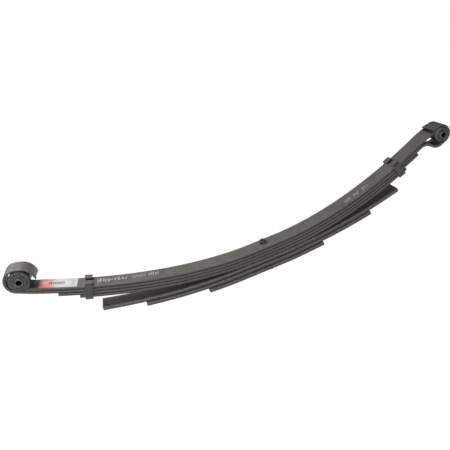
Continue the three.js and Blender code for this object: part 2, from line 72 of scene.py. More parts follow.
# %% Leaf stock, camber and eyes
LEAF_WIDTH = 50
THIN, THICK = 8.35, 13.35
THIN_EDGE, THICK_EDGE = 2.8, 5.6
LEAF_GAP = 0.3
SEAT_HALF = 45
REAR_CAMBER = dict(reach=600, rise=144.7, power=1.75)
FRONT_CAMBER = dict(reach=500, rise=118.9, power=1.853)
REAR_RUN, FRONT_RUN = 578, 500
REAR_EYE = dict(ahead=51, aside=2.6, bore=36, flange=59, sleeve=21.5, roll=306, trim=1.6)
FRONT_EYE = dict(ahead=49.4, aside=6.7, bore=23, flange=40, sleeve=18, roll=302, trim=0.2)
WRAP_GAP = 0.4
REAR_WRAP = dict(roll=255, tip=4.8, bow=6, opening=9.5)
FRONT_WRAP = dict(setback=13.2, bend=26.5, back=12.4, down=5.6, tip=4.4, tail=19)
PLAIN_REACH = dict(third_leaf=(549, 481), fourth_leaf=(503, 440))
HELPER_REACH = dict(
    helper_leaf_upper=(465, 405), helper_leaf_middle=(356, 314), helper_leaf_lower=(186, 161)
)
REAR_OPENING = dict(contact=60, most=33, power=1.14)
FRONT_OPENING = dict(contact=106, most=26.5, power=1.34)
THIN_PITCH = THIN + LEAF_GAP
THICK_PITCH = THICK + LEAF_GAP
MAIN_DEPTH = 4 * THIN_PITCH - LEAF_GAP
HELPER_DEPTH = 4 * THIN_PITCH
STACK_DEPTH = HELPER_DEPTH + 3 * THICK_PITCH - LEAF_GAP
print("stack depth in mm:", STACK_DEPTH)

# %% [markdown]
# ## The camera
# The photo was taken from a little above and almost square to the spring, with the
# camera rolled, so that the spring climbs from lower left to upper right. The
# camera's place comes from a fit of the leaf edges. It could be aimed with a Track To
# constraint, but a matrix of right, up and back vectors holds the roll as well.

# %% Place the camera
FRAME_WIDTH = 450
CAMERA = dict(azimuth=-5.385, elevation=25.332, roll=-19.67, distance=1.38042, focal=514.86)
TARGET = np.array([-0.08293, 0, 0.09483])


def camera_axes(azimuth, elevation, roll):
    """Right, up and back vectors of a camera that looks at the spring, then rolls about back."""
    a, e, r = np.radians([azimuth, elevation, roll])
    back = np.array([np.sin(a) * np.cos(e), -np.cos(a) * np.cos(e), np.sin(e)])
    right = np.cross([0, 0, 1], back)
    right = right / np.linalg.norm(right)
    up = np.cross(back, right)
    turned_right = np.cos(r) * right + np.sin(r) * up
    turned_up = np.cos(r) * up - np.sin(r) * right
    return turned_right, turned_up, back


camera = bpy.data.objects.new("camera", bpy.data.cameras.new("camera"))
bpy.context.scene.collection.objects.link(camera)
axes = camera_axes(CAMERA["azimuth"], CAMERA["elevation"], CAMERA["roll"])
place = Matrix([list(row) for row in np.array(axes).T]).to_4x4()
place.translation = Vector(TARGET + axes[2] * CAMERA["distance"])
camera.matrix_world = place
camera.data.sensor_width = 36
camera.data.lens = 36 * CAMERA["focal"] / FRAME_WIDTH
camera.data.clip_start, camera.data.clip_end = 0.05, 60
bpy.context.scene.camera = camera
print("lens in mm:", round(camera.data.lens, 2))

# %% [markdown]
# ## The camber line
# Every leaf follows one curve: flat over the axle seat, then rising as a power of the
# distance. A Bezier curve could be drawn by eye, but a formula keeps all seven leaves
# parallel, and the depth of a leaf is then one number.

# %% Camber and places in the stack


def camber_height(x):
    """Height of the main leaf's top face: rise times (distance past the seat / reach) to a power."""
    x = np.asarray(x, float)
    run = np.maximum(0, np.abs(x) - SEAT_HALF)
    sides = []
    for side in (REAR_CAMBER, FRONT_CAMBER):
        sides.append(side["rise"] * (run / (side["reach"] - SEAT_HALF)) ** side["power"])
    return np.where(x < 0, sides[0], sides[1])


def camber_slope(x):
    """Rise of the camber over one millimetre centred on x."""
    return camber_height(np.asarray(x) + 0.5) - camber_height(np.asarray(x) - 0.5)


def stack_point(x, depth):
    """Points at a depth below the top face, measured square to it, as rows of (x, z)."""
    slope = camber_slope(x)
    length = np.hypot(1, slope)
    return np.stack([x + depth * slope / length, camber_height(x) - depth / length], -1)


def helper_opening(x):
    """How far the helper pack has parted from the stack: most times a power of the run past contact."""
    ends = zip((-x, x), HELPER_REACH["helper_leaf_upper"], (REAR_OPENING, FRONT_OPENING))
    parts = []
    for distance, reach, opening in ends:
        share = np.maximum(0, distance - opening["contact"]) / (reach - opening["contact"])
        parts.append(opening["most"] * share ** opening["power"])
    return parts[0] + parts[1]


def run_line(rear, front, depth_at, step=7.0):
    """A leaf's middle line: stations from rear to front, each set down by its depth."""
    x = np.linspace(-rear, front, int((rear + front) / step))
    return stack_point(x, depth_at(x))


def station_at(reach, depth_at):
    """The camber station whose point in the leaf lies at the given reach, found by repeated correction."""
    x = np.array([float(reach)])
    for _ in range(6):
        x = x + reach - stack_point(x, depth_at(x))[:, 0]
    return float(x[0])


print("camber at the rear eye:", float(camber_height(-REAR_RUN)))

# %% [markdown]
# ## Bends and rolls
# An eye is made by rolling the hot leaf end round a mandrel. In the middle line that
# is a long gentle lead arc and then a circle round the eye's axis. A Bezier circle
# could be joined on by hand, but true arcs meet without a kink, and one helper that
# gives points round a centre serves for all the bends.

# %% Arcs and eye places
EYE_STEP, ARC_STEP = math.radians(4), 3.0


def arc(centre, start, turn, radius_at):
    """Points round a centre after the start angle; the radius follows the share of the turn done."""
    length = abs(turn) * float(np.max(radius_at(np.ones(1))))
    steps = max(3, math.ceil(abs(turn) / EYE_STEP), math.ceil(length / ARC_STEP))
    share = np.arange(1, steps + 1) / steps
    angle = start + turn * share
    radius = radius_at(share) * np.ones_like(share)
    return np.asarray(centre) + np.stack([radius * np.cos(angle), radius * np.sin(angle)], -1)


def angle_of(vector):
    """Direction of a flat vector in radians."""
    return math.atan2(vector[1], vector[0])


def heading_at(x, towards):
    """Unit vector along the camber line at x, pointing towards one end."""
    direction = np.array([1.0, float(camber_slope(x))])
    return towards * direction / np.linalg.norm(direction)


def eye_place(x, towards, eye):
    """The eye's axis, set out ahead of the run's end and to the side that the leaf turns to."""
    heading = heading_at(x, towards)
    across = np.array([heading[1], -heading[0]])
    aside = eye["bore"] / 2 + THIN / 2 + eye["aside"]
    return stack_point(x, THIN / 2) + heading * eye["ahead"] + across * aside


def lead_arc(start_point, heading, eye, radius):
    """An arc that leaves a point along a heading and runs smoothly into a circle round the eye."""
    across = np.array([heading[1], -heading[0]])
    to_eye = eye - start_point
    ahead, aside = to_eye @ heading, to_eye @ across
    lead_radius = (ahead**2 + aside**2 - radius**2) / (2 * (aside - radius))
    centre = start_point + across * lead_radius
    turn = -math.atan2(ahead, lead_radius - aside)
    start = angle_of(start_point - centre)
    return arc(centre, start, turn, lambda share: lead_radius), start + turn


def roll_into_eye(start_point, heading, eye, radius, roll, opening=lambda share: 0):
    """The lead arc, then a roll round the eye at the radius plus an opening."""
    lead, contact = lead_arc(start_point, heading, eye, radius)
    rolled = arc(eye, contact, -math.radians(roll), lambda share: radius + opening(share))
    return lead, rolled


rear_eye = eye_place(-REAR_RUN, -1, REAR_EYE)
front_eye = eye_place(FRONT_RUN, 1, FRONT_EYE)
print("eye axes in mm:", rear_eye.round(2), front_eye.round(2))

# %% [markdown]
# ## A bar carried along a line
# Every leaf and clip is flat bar with rounded edges. A cube with a Bevel and a Curve
# modifier could be bent to shape, but the bend would thin it. Here a rounded section
# is carried along the line instead, square to it at each station, so the stock keeps
# its thickness. Extra points beside each rounding keep the flats flat under smooth
# shading.

# %% The rounded section
SUPPORT = 0.7
CORNER_STEPS = 5
ROUNDEST, DEEPEST_INSET = 0.46, 0.9


def corner_block(half_width, half_height, radius, inset, sides):
    """One rounded corner of the section for all rings: centre plus a quarter turn of the reduced radius."""
    side_y, side_n, first = sides
    angle = np.radians(first + np.linspace(0, 90, CORNER_STEPS + 1))
    reduced = (radius - inset)[:, None]
    y = side_y * (half_width - radius)[:, None] + reduced * np.cos(angle)
    n = side_n * (half_height - radius)[:, None] + reduced * np.sin(angle)
    return np.stack([y, n], -1)


def section_rings(width, thickness, radius, inset):
    """Rounded rectangles, one for each ring: four corners with two support points on each flat."""
    radius = np.minimum(radius, ROUNDEST * thickness)
    inset = np.minimum(inset, DEEPEST_INSET * radius)
    corners = []
    for sides in ((1, 1, 0), (-1, 1, 90), (-1, -1, 180), (1, -1, 270)):
        corners.append(corner_block(width / 2, thickness / 2, radius, inset, sides))
    blocks = []
    for k in range(4):
        last, following = corners[k][:, -1:], corners[(k + 1) % 4][:, :1]
        gap = np.linalg.norm(following - last, axis=2, keepdims=True)
        share = np.minimum(SUPPORT, 0.3 * gap) / np.maximum(gap, 1e-9)
        near = last + (following - last) * share
        far = following - (following - last) * share
        blocks += [corners[k], near, far]
    return np.concatenate(blocks, 1)


print("points in each corner:", CORNER_STEPS + 1)

# %% [markdown]
# ## Painted shade where faces meet
# The real spring is darkest in the narrow lines between its leaves and on its cut
# ends, from shade and some grime. An Ambient Occlusion node could find such places,
# but it is slow and it would not reach an exported file. So the shade is painted:
# every point of a bar gets a number that says how dark it is. It grows over the arc
# of a corner towards a covered face. The number is stored with the mesh as an
# attribute, and the paint reads it there.

# %% Painted shade masks
END_RINGS = 6
END_FADE = np.array([1, 1, 0.7, 0.3, 0, 0])
CORNER_SHARE = np.linspace(0, 1, CORNER_STEPS + 1)
FLAT = np.zeros(2)
TOP_POINTS = 2 * len(CORNER_SHARE) + len(FLAT)
OTHER_POINTS = 4 * (len(CORNER_SHARE) + len(FLAT)) - TOP_POINTS
TOP_FACE = np.concatenate([np.ones(TOP_POINTS), np.zeros(OTHER_POINTS)])
LOW_SIDE = 0.5


def with_shaded_ends(mask):
    """The cut end faces get painted shade too, for their contact shadow and some grime: it fades over the
    rounding of each end.
    """
    mask[:END_RINGS] = np.maximum(mask[:END_RINGS], END_FADE[:, None])
    mask[-END_RINGS:] = np.maximum(mask[-END_RINGS:], END_FADE[::-1, None])
    return mask


def gap_shade_mask(over, under):
    """Painted shade in the gaps between leaves: a row for the top corners times how far each ring is covered
    above, plus the same below.
    """
    upper, lower = CORNER_SHARE**2, LOW_SIDE + (1 - LOW_SIDE) * CORNER_SHARE**0.6
    top = np.concatenate([upper, FLAT, upper[::-1], np.zeros(OTHER_POINTS)])
    bottom = [np.zeros(OTHER_POINTS - 3), [LOW_SIDE], lower, FLAT, lower[::-1], [LOW_SIDE, 0]]
    return with_shaded_ends(np.outer(over, top) + np.outer(under, np.concatenate(bottom)))


def part_mask(line, first, count):
    """One for the rings of a part of the line and nought for the rest, the eased ends among them."""
    mask = np.zeros(len(line) + 2 * (END_RINGS - 1))
    start = END_RINGS - 1 + first
    mask[start : start + count] = 1
    return mask


print("points in a section:", TOP_POINTS + OTHER_POINTS)

# %% [markdown]
# ## From rings to a mesh
# A bar and a turned piece are both rings of points. Faces could be added one at a
# time with bmesh, but an array of numbered points, rolled by one place, gives all the
# quads at once. A bar gets a face over each end. A turned profile that closes on
# itself joins its last ring to its first instead. The points are worked out in place,
# so each object stands at the origin.

# %% Mesh makers


def linked_mesh(name, points, faces):
    """A mesh object in metres from points in millimetres."""
    mesh = bpy.data.meshes.new(name)
    mesh.from_pydata((points.reshape(-1, 3) / 1000).tolist(), [], faces)
    piece = bpy.data.objects.new(name, mesh)
    bpy.context.scene.collection.objects.link(piece)
    return piece


def mesh_object(name, rings, shade_and_grime=None, closed=False):
    """Closed smooth mesh: quads between rings, and end faces unless the rings close on themselves."""
    count, around = rings.shape[:2]
    index = np.arange(count * around).reshape(count, around)
    turned = np.roll(index, -1, axis=1)
    quads = np.stack([index, turned, np.roll(turned, -1, 0), np.roll(index, -1, 0)], -1)
    faces = quads[: count if closed else count - 1].reshape(-1, 4).tolist()
    if not closed:
        faces += [index[0][::-1].tolist(), index[-1].tolist()]
    piece = linked_mesh(name, rings, faces)
    piece.data.shade_smooth()
    # The painted shade, with some grime, is stored with the mesh as a number for each point.
    if shade_and_grime is not None:
        values = np.broadcast_to(shade_and_grime, (count, around)).astype(np.float32)
        mask = piece.data.attributes.new("shade_and_grime", "FLOAT", "POINT")
        mask.data.foreach_set("value", values.ravel())
    return piece


def tangents_of(points):
    """Unit vectors along a line of points."""
    step = np.gradient(points, axis=0)
    return step / np.linalg.norm(step, axis=1, keepdims=True)


def length_along(points):
    """The length of the line up to each of its points."""
    return np.concatenate([[0], np.cumsum(np.linalg.norm(np.diff(points, axis=0), axis=1))])


print("mesh makers ready")

# %% [markdown]
# ## The bar and the leaf
# The ends of the stock are eased like a sheared and tumbled bar. A Bevel modifier
# could do it, but it would round the long edges again. Here the last rings of each
# end stand close together and shrink over a quarter turn. A leaf is such a bar in the
# XZ plane, with its width along Y. A hammered leaf end is seldom quite square, so
# both ends can be set aslant, which shifts the points along the leaf by their place
# across it.

# %% Bar and leaf makers
SLANT_REACH = 18


def with_end_rings(values):
    """One value for each ring: the first and last stations' values serve all the rings of an end."""
    first, last = np.repeat(values[:1], END_RINGS, 0), np.repeat(values[-1:], END_RINGS, 0)
    return np.concatenate([first, values[1:-1], last])


def bar_rings(line, thickness, width, radius, ease=1.2):
    """Sections square to the line at each station, given as places in the line's plane and across it."""
    line = np.asarray(line, float)
    count = len(line)
    quarter = np.radians([0, 30, 60, 90])
    along = np.concatenate([[0], ease * (1 - np.cos(quarter)), [ease + SUPPORT]])
    inset = np.concatenate([[ease + 0.4], ease * (1 - np.sin(quarter)), [0]])
    tangent = tangents_of(line)
    first = line[:1] + along[:, None] * tangent[:1]
    last = line[-1:] - along[::-1, None] * tangent[-1:]
    points = np.concatenate([first, line[1:-1], last])
    insets = np.concatenate([inset, np.zeros(count - 2), inset[::-1]])
    thick = with_end_rings(np.broadcast_to(thickness, (count,)))
    wide = with_end_rings(np.broadcast_to(width, (count,)))
    section = section_rings(wide, thick, radius, insets)
    tangents = with_end_rings(tangent)
    normals = np.stack([-tangents[:, 1], tangents[:, 0]], -1)
    flat = points[:, None] + section[..., 1:] * normals[:, None]
    return flat, section[..., 0]


def leaf_piece(name, line, thickness, edge, covered=(1, 1), slant=(0, 0), ring_shade=0, shade=0):
    """A bar with slanted ends; its painted shade is the most of covered corners, the shade of whole rings and
    the shade on top.
    """
    flat, side = bar_rings(line, thickness, LEAF_WIDTH, edge)
    middle = flat.mean(1)
    tangent, run = tangents_of(middle), length_along(middle)
    for amount, distance, outward in ((slant[0], run, -1), (slant[1], run[-1] - run, 1)):
        share = np.maximum(0, 1 - distance / SLANT_REACH)[:, None]
        shift = outward * amount * share * (side / LEAF_WIDTH)
        flat = flat + shift[..., None] * tangent[:, None]
    rings = np.stack([flat[..., 0], side, flat[..., 1]], -1)
    each = np.ones(len(rings))
    leaf_shade = gap_shade_mask(each * covered[0], each * covered[1])
    leaf_shade = np.maximum(leaf_shade, (each * ring_shade)[:, None])
    leaf_shade = np.maximum(leaf_shade, np.outer(each * shade, TOP_FACE))
    return mesh_object(name, rings, leaf_shade)


print("leaf width in mm:", LEAF_WIDTH)

# %% [markdown]
# ## The main leaf's line
# The main leaf has both eyes: the rear one rolled up over the leaf, the front one
# rolled down below it. A Screw modifier could roll each eye, but it would still have
# to be joined to the leaf. One line avoids the joint: the rear roll backwards, the
# run, then the front roll. Masks say which rings the next leaf covers, and both rolls,
# inside the wrapper leaf's ends, get painted shade.

# %% Main leaf line
# Painted shade on the rolls inside the wrapper leaf's ends.
ROLL_SHADE = dict(rear=0.7, front=0.55)


def main_line():
    """The line, its covered part, and the painted shade of the rolls."""
    run = run_line(REAR_RUN, FRONT_RUN, lambda x: THIN / 2)
    rear_radius, front_radius = [eye["bore"] / 2 + THIN / 2 for eye in (REAR_EYE, FRONT_EYE)]
    rear = roll_into_eye(run[0], heading_at(-REAR_RUN, -1), rear_eye, rear_radius, REAR_EYE["roll"])
    front = roll_into_eye(run[-1], heading_at(FRONT_RUN, 1), front_eye, front_radius, FRONT_EYE["roll"])
    rear_end = np.concatenate(rear)[::-1]
    line = np.concatenate([rear_end, run, *front])
    below = part_mask(line, len(rear_end), len(run))
    front_roll = len(rear_end) + len(run) + len(front[0])
    rolls = ROLL_SHADE["rear"] * part_mask(line, 0, len(rear[1]))
    rolls += ROLL_SHADE["front"] * part_mask(line, front_roll, len(line))
    return line, below, rolls


print("points in the main leaf's line:", len(main_line()[0]))

# %% [markdown]
# ## The wrapper leaf's ends
# The wrapper leaf follows the main leaf and guards its eyes, and its ends were
# hammered thinner. At the rear it stands off the eye like an open hook. A Simple
# Deform modifier could taper the ends, but a thickness for each point of the line is
# exact. It falls with the share of the way round, and the hook's opening is a bow
# plus a power of that share.

# %% Hammered ends


def rear_wrap_thickness(share):
    """The stock thins evenly over the first three quarters of the roll."""
    return THIN + (REAR_WRAP["tip"] - THIN) * np.minimum(1, share / 0.75)


def rear_wrap_opening(share):
    """A half sine bow at the side, plus a power of the last third at the tip, plus half the thinning."""
    bow = REAR_WRAP["bow"] * np.sin(np.pi * np.minimum(1, share / 0.62))
    tip = REAR_WRAP["opening"] * np.maximum(0, (share - 0.66) / 0.34) ** 1.2
    return bow + tip + (rear_wrap_thickness(share) - THIN) / 2


def front_wrap_thickness(share):
    """The stock thins with the square of the share of the turn that is done."""
    return THIN + (FRONT_WRAP["tip"] - THIN) * share**2


def front_wrap_radius(share):
    """The eye's bore, the main leaf and a gap lie inside the wrap's middle line."""
    return FRONT_EYE["bore"] / 2 + THIN + WRAP_GAP + front_wrap_thickness(share) / 2


print("wrap tips in mm:", rear_wrap_thickness(1.0), front_wrap_thickness(1.0))

# %% [markdown]
# ## The sag under the front eye
# At the front the wrapper sags under the eye like a slack belt and lands on the main
# leaf. The sag could be drawn as a spline, but arcs and straights that touch without
# a kink are what a forge makes.

# %% Sag under the front eye


def dip_under_eye(start_point, heading, landing):
    """Bend down, a straight, a sag circle, the eye circle and a straight tail, all tangent to each other."""
    radius = float(front_wrap_radius(0.0))
    sag = front_eye - np.array([FRONT_WRAP["back"], FRONT_WRAP["down"]])
    down = np.array([heading[1], -heading[0]])
    bend = FRONT_WRAP["bend"]
    centre = start_point + down * bend
    between = sag - centre
    crossing = math.asin((bend + radius) / np.linalg.norm(between))
    line = angle_of(between) - crossing
    first = arc(centre, angle_of(start_point - centre), line - angle_of(heading), lambda share: bend)
    contact = line - math.pi / 2
    parting = math.atan2(FRONT_WRAP["down"], FRONT_WRAP["back"]) - math.pi / 2
    touch = sag + radius * np.array([[math.cos(contact), math.sin(contact)]])
    under = arc(sag, contact, parting - contact, lambda share: radius)
    meet = front_eye + radius * np.array([[math.cos(parting), math.sin(parting)]])
    straight = np.linspace(first[-1], touch[0], 6)[1:-1]
    level = np.linspace(under[-1], meet[0], 4)[1:-1]
    around = arc(front_eye, parting, landing - parting, front_wrap_radius)
    back = np.array([-math.sin(landing), math.cos(landing)])
    tail = around[-1] + back * np.linspace(0, FRONT_WRAP["tail"], 4)[1:, None]
    return np.concatenate([first, straight, touch, under, level, meet]), around, tail


print("sag circle's offset in mm:", FRONT_WRAP["back"], FRONT_WRAP["down"])

# %% [markdown]
# ## The wrapper leaf's line
# The parts are strung together from the rear tip to the front one. They could be
# separate bars, but their joints would show. The masks are made along with the line:
# where the next leaf covers it, and a little painted shade inside the front wrap and
# on the crown of the rear one.

# %% Wrapper leaf line
# Painted shade inside the front wrap and on the crown of the rear wrap.
WRAP_SHADE = 0.3


def wrapper_line():
    """The line, its thickness at each point, its covered part and its painted shade."""
    front_end = FRONT_RUN - FRONT_WRAP["setback"]
    run = run_line(REAR_RUN, front_end, lambda x: THIN_PITCH + THIN / 2)
    radius = REAR_EYE["bore"] / 2 + THIN + WRAP_GAP + THIN / 2
    heading = heading_at(-REAR_RUN, -1)
    lead, rolled = roll_into_eye(run[0], heading, rear_eye, radius, REAR_WRAP["roll"], rear_wrap_opening)
    main_end = stack_point(FRONT_RUN, THIN / 2)
    main_radius = FRONT_EYE["bore"] / 2 + THIN / 2
    landing = lead_arc(main_end, heading_at(FRONT_RUN, 1), front_eye, main_radius)[1]
    dip, around, tail = dip_under_eye(run[-1], heading_at(front_end, 1), landing)
    line = np.concatenate([rolled[::-1], lead[::-1], run, dip, around, tail])
    rear_share = np.arange(len(rolled), 0, -1) / len(rolled)
    front_share = np.arange(1, len(around) + 1) / len(around)
    plain = np.full(len(lead) + len(run) + len(dip), THIN)
    ends = rear_wrap_thickness(rear_share), front_wrap_thickness(front_share)
    thickness = np.concatenate([ends[0], plain, ends[1], np.full(len(tail), FRONT_WRAP["tip"])])
    rear_count = len(rolled) + len(lead)
    below = part_mask(line, rear_count, len(run))
    ring_shade = part_mask(line, rear_count + len(run) + len(dip), len(line))
    # The crown of the rear wrap gets painted shade too.
    crown = np.arange(len(ring_shade)) / len(rolled)
    ring_shade += np.exp(-(((crown - 0.5) / 0.28) ** 2)) * part_mask(line, 0, len(rolled))
    return line, thickness, below, WRAP_SHADE * ring_shade


print("points in the wrapper leaf's line:", len(wrapper_line()[0]))

# %% [markdown]
# ## Make both eyed leaves
# The wrapper's front tip lies on the main leaf, and the corner in front of it is
# dark. The shade could be painted by hand, but a formula moves with the tip: the main
# leaf's top face is darkened over a few millimetres about the tip, by a bell curve
# with a flat top.

# %% Main leaf and wrapper leaf
TIP_SHADE = dict(most=1.15, reach=5)

pieces = {}
line, thickness, below, ring_shade = wrapper_line()
pieces["wrapper_leaf"] = leaf_piece(
    "wrapper_leaf_steel", line, thickness, THIN_EDGE, covered=(1, below), slant=(6, 4), ring_shade=ring_shade
)
wrap_end = line[-1, 0]
line, below, rolls = main_line()
from_tip = (with_end_rings(line[:, 0]) - wrap_end + 1) / TIP_SHADE["reach"]
shade = TIP_SHADE["most"] * np.exp(-(from_tip**4))
pieces["main_leaf"] = leaf_piece(
    "main_leaf_steel", line, THIN, THIN_EDGE, covered=(0, below), ring_shade=rolls, shade=shade
)
print("main leaf faces:", len(pieces["main_leaf"].data.polygons))

# %% [markdown]
# ## The plain and the helper leaves
# These are cut square at both ends. The helpers are the heavier stock, with edges so
# round that they catch a long bright line of light. An Array modifier could repeat
# one leaf, but each has its own length and its own bend. So each is made on its own
# line, and since the helpers part from the stack towards their ends, one opening
# formula is added to their depth.

# %% Plain leaves and helper leaves


def plain_line(rear, front, depth_at):
    """A run whose ends lie at the given reach each way."""
    return run_line(-station_at(-rear, depth_at), station_at(front, depth_at), depth_at)


def plain_leaf(name, rear, front, order):
    """A thin leaf at its place in the stack, counted from the top."""
    line = plain_line(rear, front, lambda x: order * THIN_PITCH + THIN / 2)
    return leaf_piece(name + "_steel", line, THIN, THIN_EDGE)


def helper_leaf(name, rear, front, order):
    """A thick leaf whose depth grows by the opening."""
    depth = HELPER_DEPTH + order * THICK_PITCH + THICK / 2
    line = plain_line(rear, front, lambda x: depth + helper_opening(x))
    return leaf_piece(name + "_steel", line, THICK, THICK_EDGE, covered=(1, 1.2))


for order, (name, reach) in enumerate(PLAIN_REACH.items()):
    pieces[name] = plain_leaf(name, *reach, order + 2)
for order, (name, reach) in enumerate(HELPER_REACH.items()):
    pieces[name] = helper_leaf(name, *reach, order)
print("leaves:", len(pieces))

# %% [markdown]
# ## Clips
# A clip is a strap bent round the four thin leaves, with both ends folded over the
# top, so that the leaves stay together on rebound. A bent sheet with Solidify could
# stand for it, but the swept bar brings its rounded edges with it. Its line now lies
# in the plane across the spring and its width along it. A line of corners, each
# rounded by an arc, is divided finely, because the width will change along it.

# %% The line of a strap
CLIP_WIDTH, CLIP_THICKNESS = 19.5, 4
CLIP_X = dict(rear=-470.4, front=411.5)
CLIP_BEND, CLIP_SIDE_GAP, CLIP_TOP_GAP = 4, 0.8, 3.2
FOLD_LENGTH, FOLD_CORNER = 24, 3.0


def rounded_path(corners, radius, steps=7):
    """Straight lines between corners, each corner replaced by a tangent arc."""
    corners = np.asarray(corners, float)
    points = [corners[:1]]
    for before, corner, after in zip(corners[:-2], corners[1:-1], corners[2:]):
        leave = (before - corner) / np.linalg.norm(before - corner)
        enter = (after - corner) / np.linalg.norm(after - corner)
        centre = corner + (leave + enter) * radius
        turn = np.linspace(0, np.pi / 2, steps)[:, None]
        points.append(centre - enter * radius * np.cos(turn) - leave * radius * np.sin(turn))
    points.append(corners[-1:])
    return np.concatenate(points)


def dense(line, step):
    """Each straight divided evenly into parts of about a step: its start plus a share of its run."""
    runs = np.diff(line, axis=0)
    counts = np.maximum(1, (np.linalg.norm(runs, axis=1) / step).astype(int))
    first = np.repeat(np.cumsum(counts) - counts, counts)
    share = (np.arange(counts.sum()) - first) / np.repeat(counts, counts)
    points = np.repeat(line[:-1], counts, 0) + np.repeat(runs, counts, 0) * share[:, None]
    return np.concatenate([points, line[-1:]])


def strap_line():
    """The strap's middle line from fold end to fold end, in the (across, up) plane."""
    side = LEAF_WIDTH / 2 + CLIP_SIDE_GAP + CLIP_THICKNESS / 2
    top = MAIN_DEPTH + CLIP_TOP_GAP + CLIP_THICKNESS / 2
    floor = -LEAF_GAP - CLIP_THICKNESS / 2
    fold = side + CLIP_THICKNESS / 2 - FOLD_LENGTH
    corners = [(fold, top), (side, top), (side, floor), (-side, floor), (-side, top), (-fold, top)]
    return dense(rounded_path(corners, CLIP_BEND), 1.2)


print("strap length in mm:", float(length_along(strap_line())[-1].round(1)))

# %% [markdown]
# ## Straps on the spring
# A strap stands square to the leaf below it. Its object could be turned, but its
# place would then not be in its mesh, so the points themselves are turned by the
# camber's slope. The fold ends have rounded corners, which here is a width that grows
# over the first millimetres. Rims and bends get painted shade, and the upright parts
# half as much, as on the leaves.

# %% Straps


def on_camber(local, x):
    """Turns (along, across, up) points about Y by the camber's slope and sets them below the thin leaves."""
    at = stack_point(x, MAIN_DEPTH)
    slope = math.atan(float(camber_slope(x)))
    along = local[..., 0] * math.cos(slope) - local[..., 2] * math.sin(slope)
    up = local[..., 0] * math.sin(slope) + local[..., 2] * math.cos(slope)
    return np.stack([at[0] + along, local[..., 1], at[1] + up], -1)


def strap_shade(flat):
    """Painted shade: the most of the rims, the bends and half of the upright parts, then the cut ends."""
    rim = CORNER_SHARE
    row = np.concatenate([rim[::-1], FLAT, rim, FLAT + 1, rim[::-1], FLAT, rim, FLAT + 1])
    heading = np.abs(tangents_of(flat.mean(1)))
    bend = 2 * heading[:, 0] * heading[:, 1]
    return with_shaded_ends(np.maximum(row, np.maximum(bend**0.6, 0.5 * heading[:, 1])[:, None]))


def clip_piece(name, x):
    """A bar along the strap line; near the fold ends its width follows a quarter circle."""
    line = strap_line()
    run = length_along(line)
    missing = np.maximum(0, FOLD_CORNER - np.minimum(run, run[-1] - run))
    width = CLIP_WIDTH - 2 * (FOLD_CORNER - np.sqrt(np.maximum(0, FOLD_CORNER**2 - missing**2)))
    flat, along = bar_rings(line, CLIP_THICKNESS, width, 0.9, ease=0.8)
    local = np.stack([along, flat[..., 0], flat[..., 1]], -1)
    return mesh_object(name, on_camber(local, x), strap_shade(flat))


for end, x in CLIP_X.items():
    pieces[end + "_clip"] = clip_piece(end + "_clip_strap", x)
print("clips at:", CLIP_X)

# %% [markdown]
# ## Turned pieces
# The bolt, the rivets, the rubber bushes and the steel sleeves are all round. The
# Screw modifier could turn them, but with a grid of angles and profile points the
# surface can also be waved or dented. The profile's corners get small curves first,
# because no machined or moulded edge is sharp, and the curve catches the light.

# %% A profile turned about an axis


def soften(profile, radius, steps=3, closed=False):
    """Replaces each inner corner by a short curve: a quadratic blend between two points near the corner."""
    profile = np.asarray(profile, float)
    before, corners, after = profile[:-2], profile[1:-1], profile[2:]
    if closed:
        before, corners, after = np.roll(profile, 1, 0), profile, np.roll(profile, -1, 0)
    back, on = before - corners, after - corners
    back_length = np.linalg.norm(back, axis=1, keepdims=True)
    on_length = np.linalg.norm(on, axis=1, keepdims=True)
    enter = corners + back / back_length * np.minimum(radius, 0.4 * back_length)
    leave = corners + on / on_length * np.minimum(radius, 0.4 * on_length)
    t = np.linspace(0, 1, steps + 1)[None, :, None]
    curve = enter[:, None] * (1 - t) ** 2 + 2 * corners[:, None] * t * (1 - t) + leave[:, None] * t**2
    curve = curve.reshape(-1, 2)
    return curve if closed else np.concatenate([profile[:1], curve, profile[-1:]])


def turn_angles(segments):
    """Evenly spaced angles round a full turn."""
    return np.arange(segments) / segments * 2 * np.pi


def lathe_grid(profile, segments):
    """Rows of rings (radius times cosine and sine of the angle, height) for each profile point."""
    angle = turn_angles(segments)
    radius, height = profile[:, :1], profile[:, 1:]
    x = radius * np.cos(angle)
    return np.stack([x, radius * np.sin(angle), np.broadcast_to(height, x.shape)], -1)


def along_y(grid, axis, side):
    """Lays a turned grid in an eye: its axis along Y towards one side, its middle on the eye's axis."""
    return np.stack([axis[0] + grid[..., 0], side * grid[..., 2], axis[1] + grid[..., 1]], -1)


print("turning helpers ready")

# %% [markdown]
# ## Centre bolt and nut
# The bolt's round head sits in the axle seat's hole and is the dark button in the
# middle of the top face. The nut is a hexagon whose corners are turned off by a
# chamfer. It could be cut from a prism with a Boolean, but it's simpler to say that
# at each angle and height its radius is the smaller of the two shapes.

# %% Bolt and nut
BOLT, BOLT_HEAD, BOLT_HEAD_HEIGHT, BOLT_CHAMFER = 10, 17.5, 10.5, 1.2
NUT_FLATS, NUT_HEIGHT, NUT_CHAMFER_SLOPE = 17, 8.4, 1.7

bolt_end = -STACK_DEPTH - LEAF_GAP - NUT_HEIGHT - 3
bolt_profile = [
    (0.8, bolt_end),
    (BOLT / 2 - 1, bolt_end),
    (BOLT / 2, bolt_end + 1),
    (BOLT / 2, LEAF_GAP),
    (BOLT_HEAD / 2, LEAF_GAP),
    (BOLT_HEAD / 2, BOLT_HEAD_HEIGHT - BOLT_CHAMFER),
    (BOLT_HEAD / 2 - BOLT_CHAMFER, BOLT_HEAD_HEIGHT),
    (2.4, BOLT_HEAD_HEIGHT),
    (1.6, BOLT_HEAD_HEIGHT - 0.5),
    (0.8, BOLT_HEAD_HEIGHT - 0.6),
]
pieces["centre_bolt"] = mesh_object("centre_bolt_steel", lathe_grid(soften(bolt_profile, 0.5), 64))


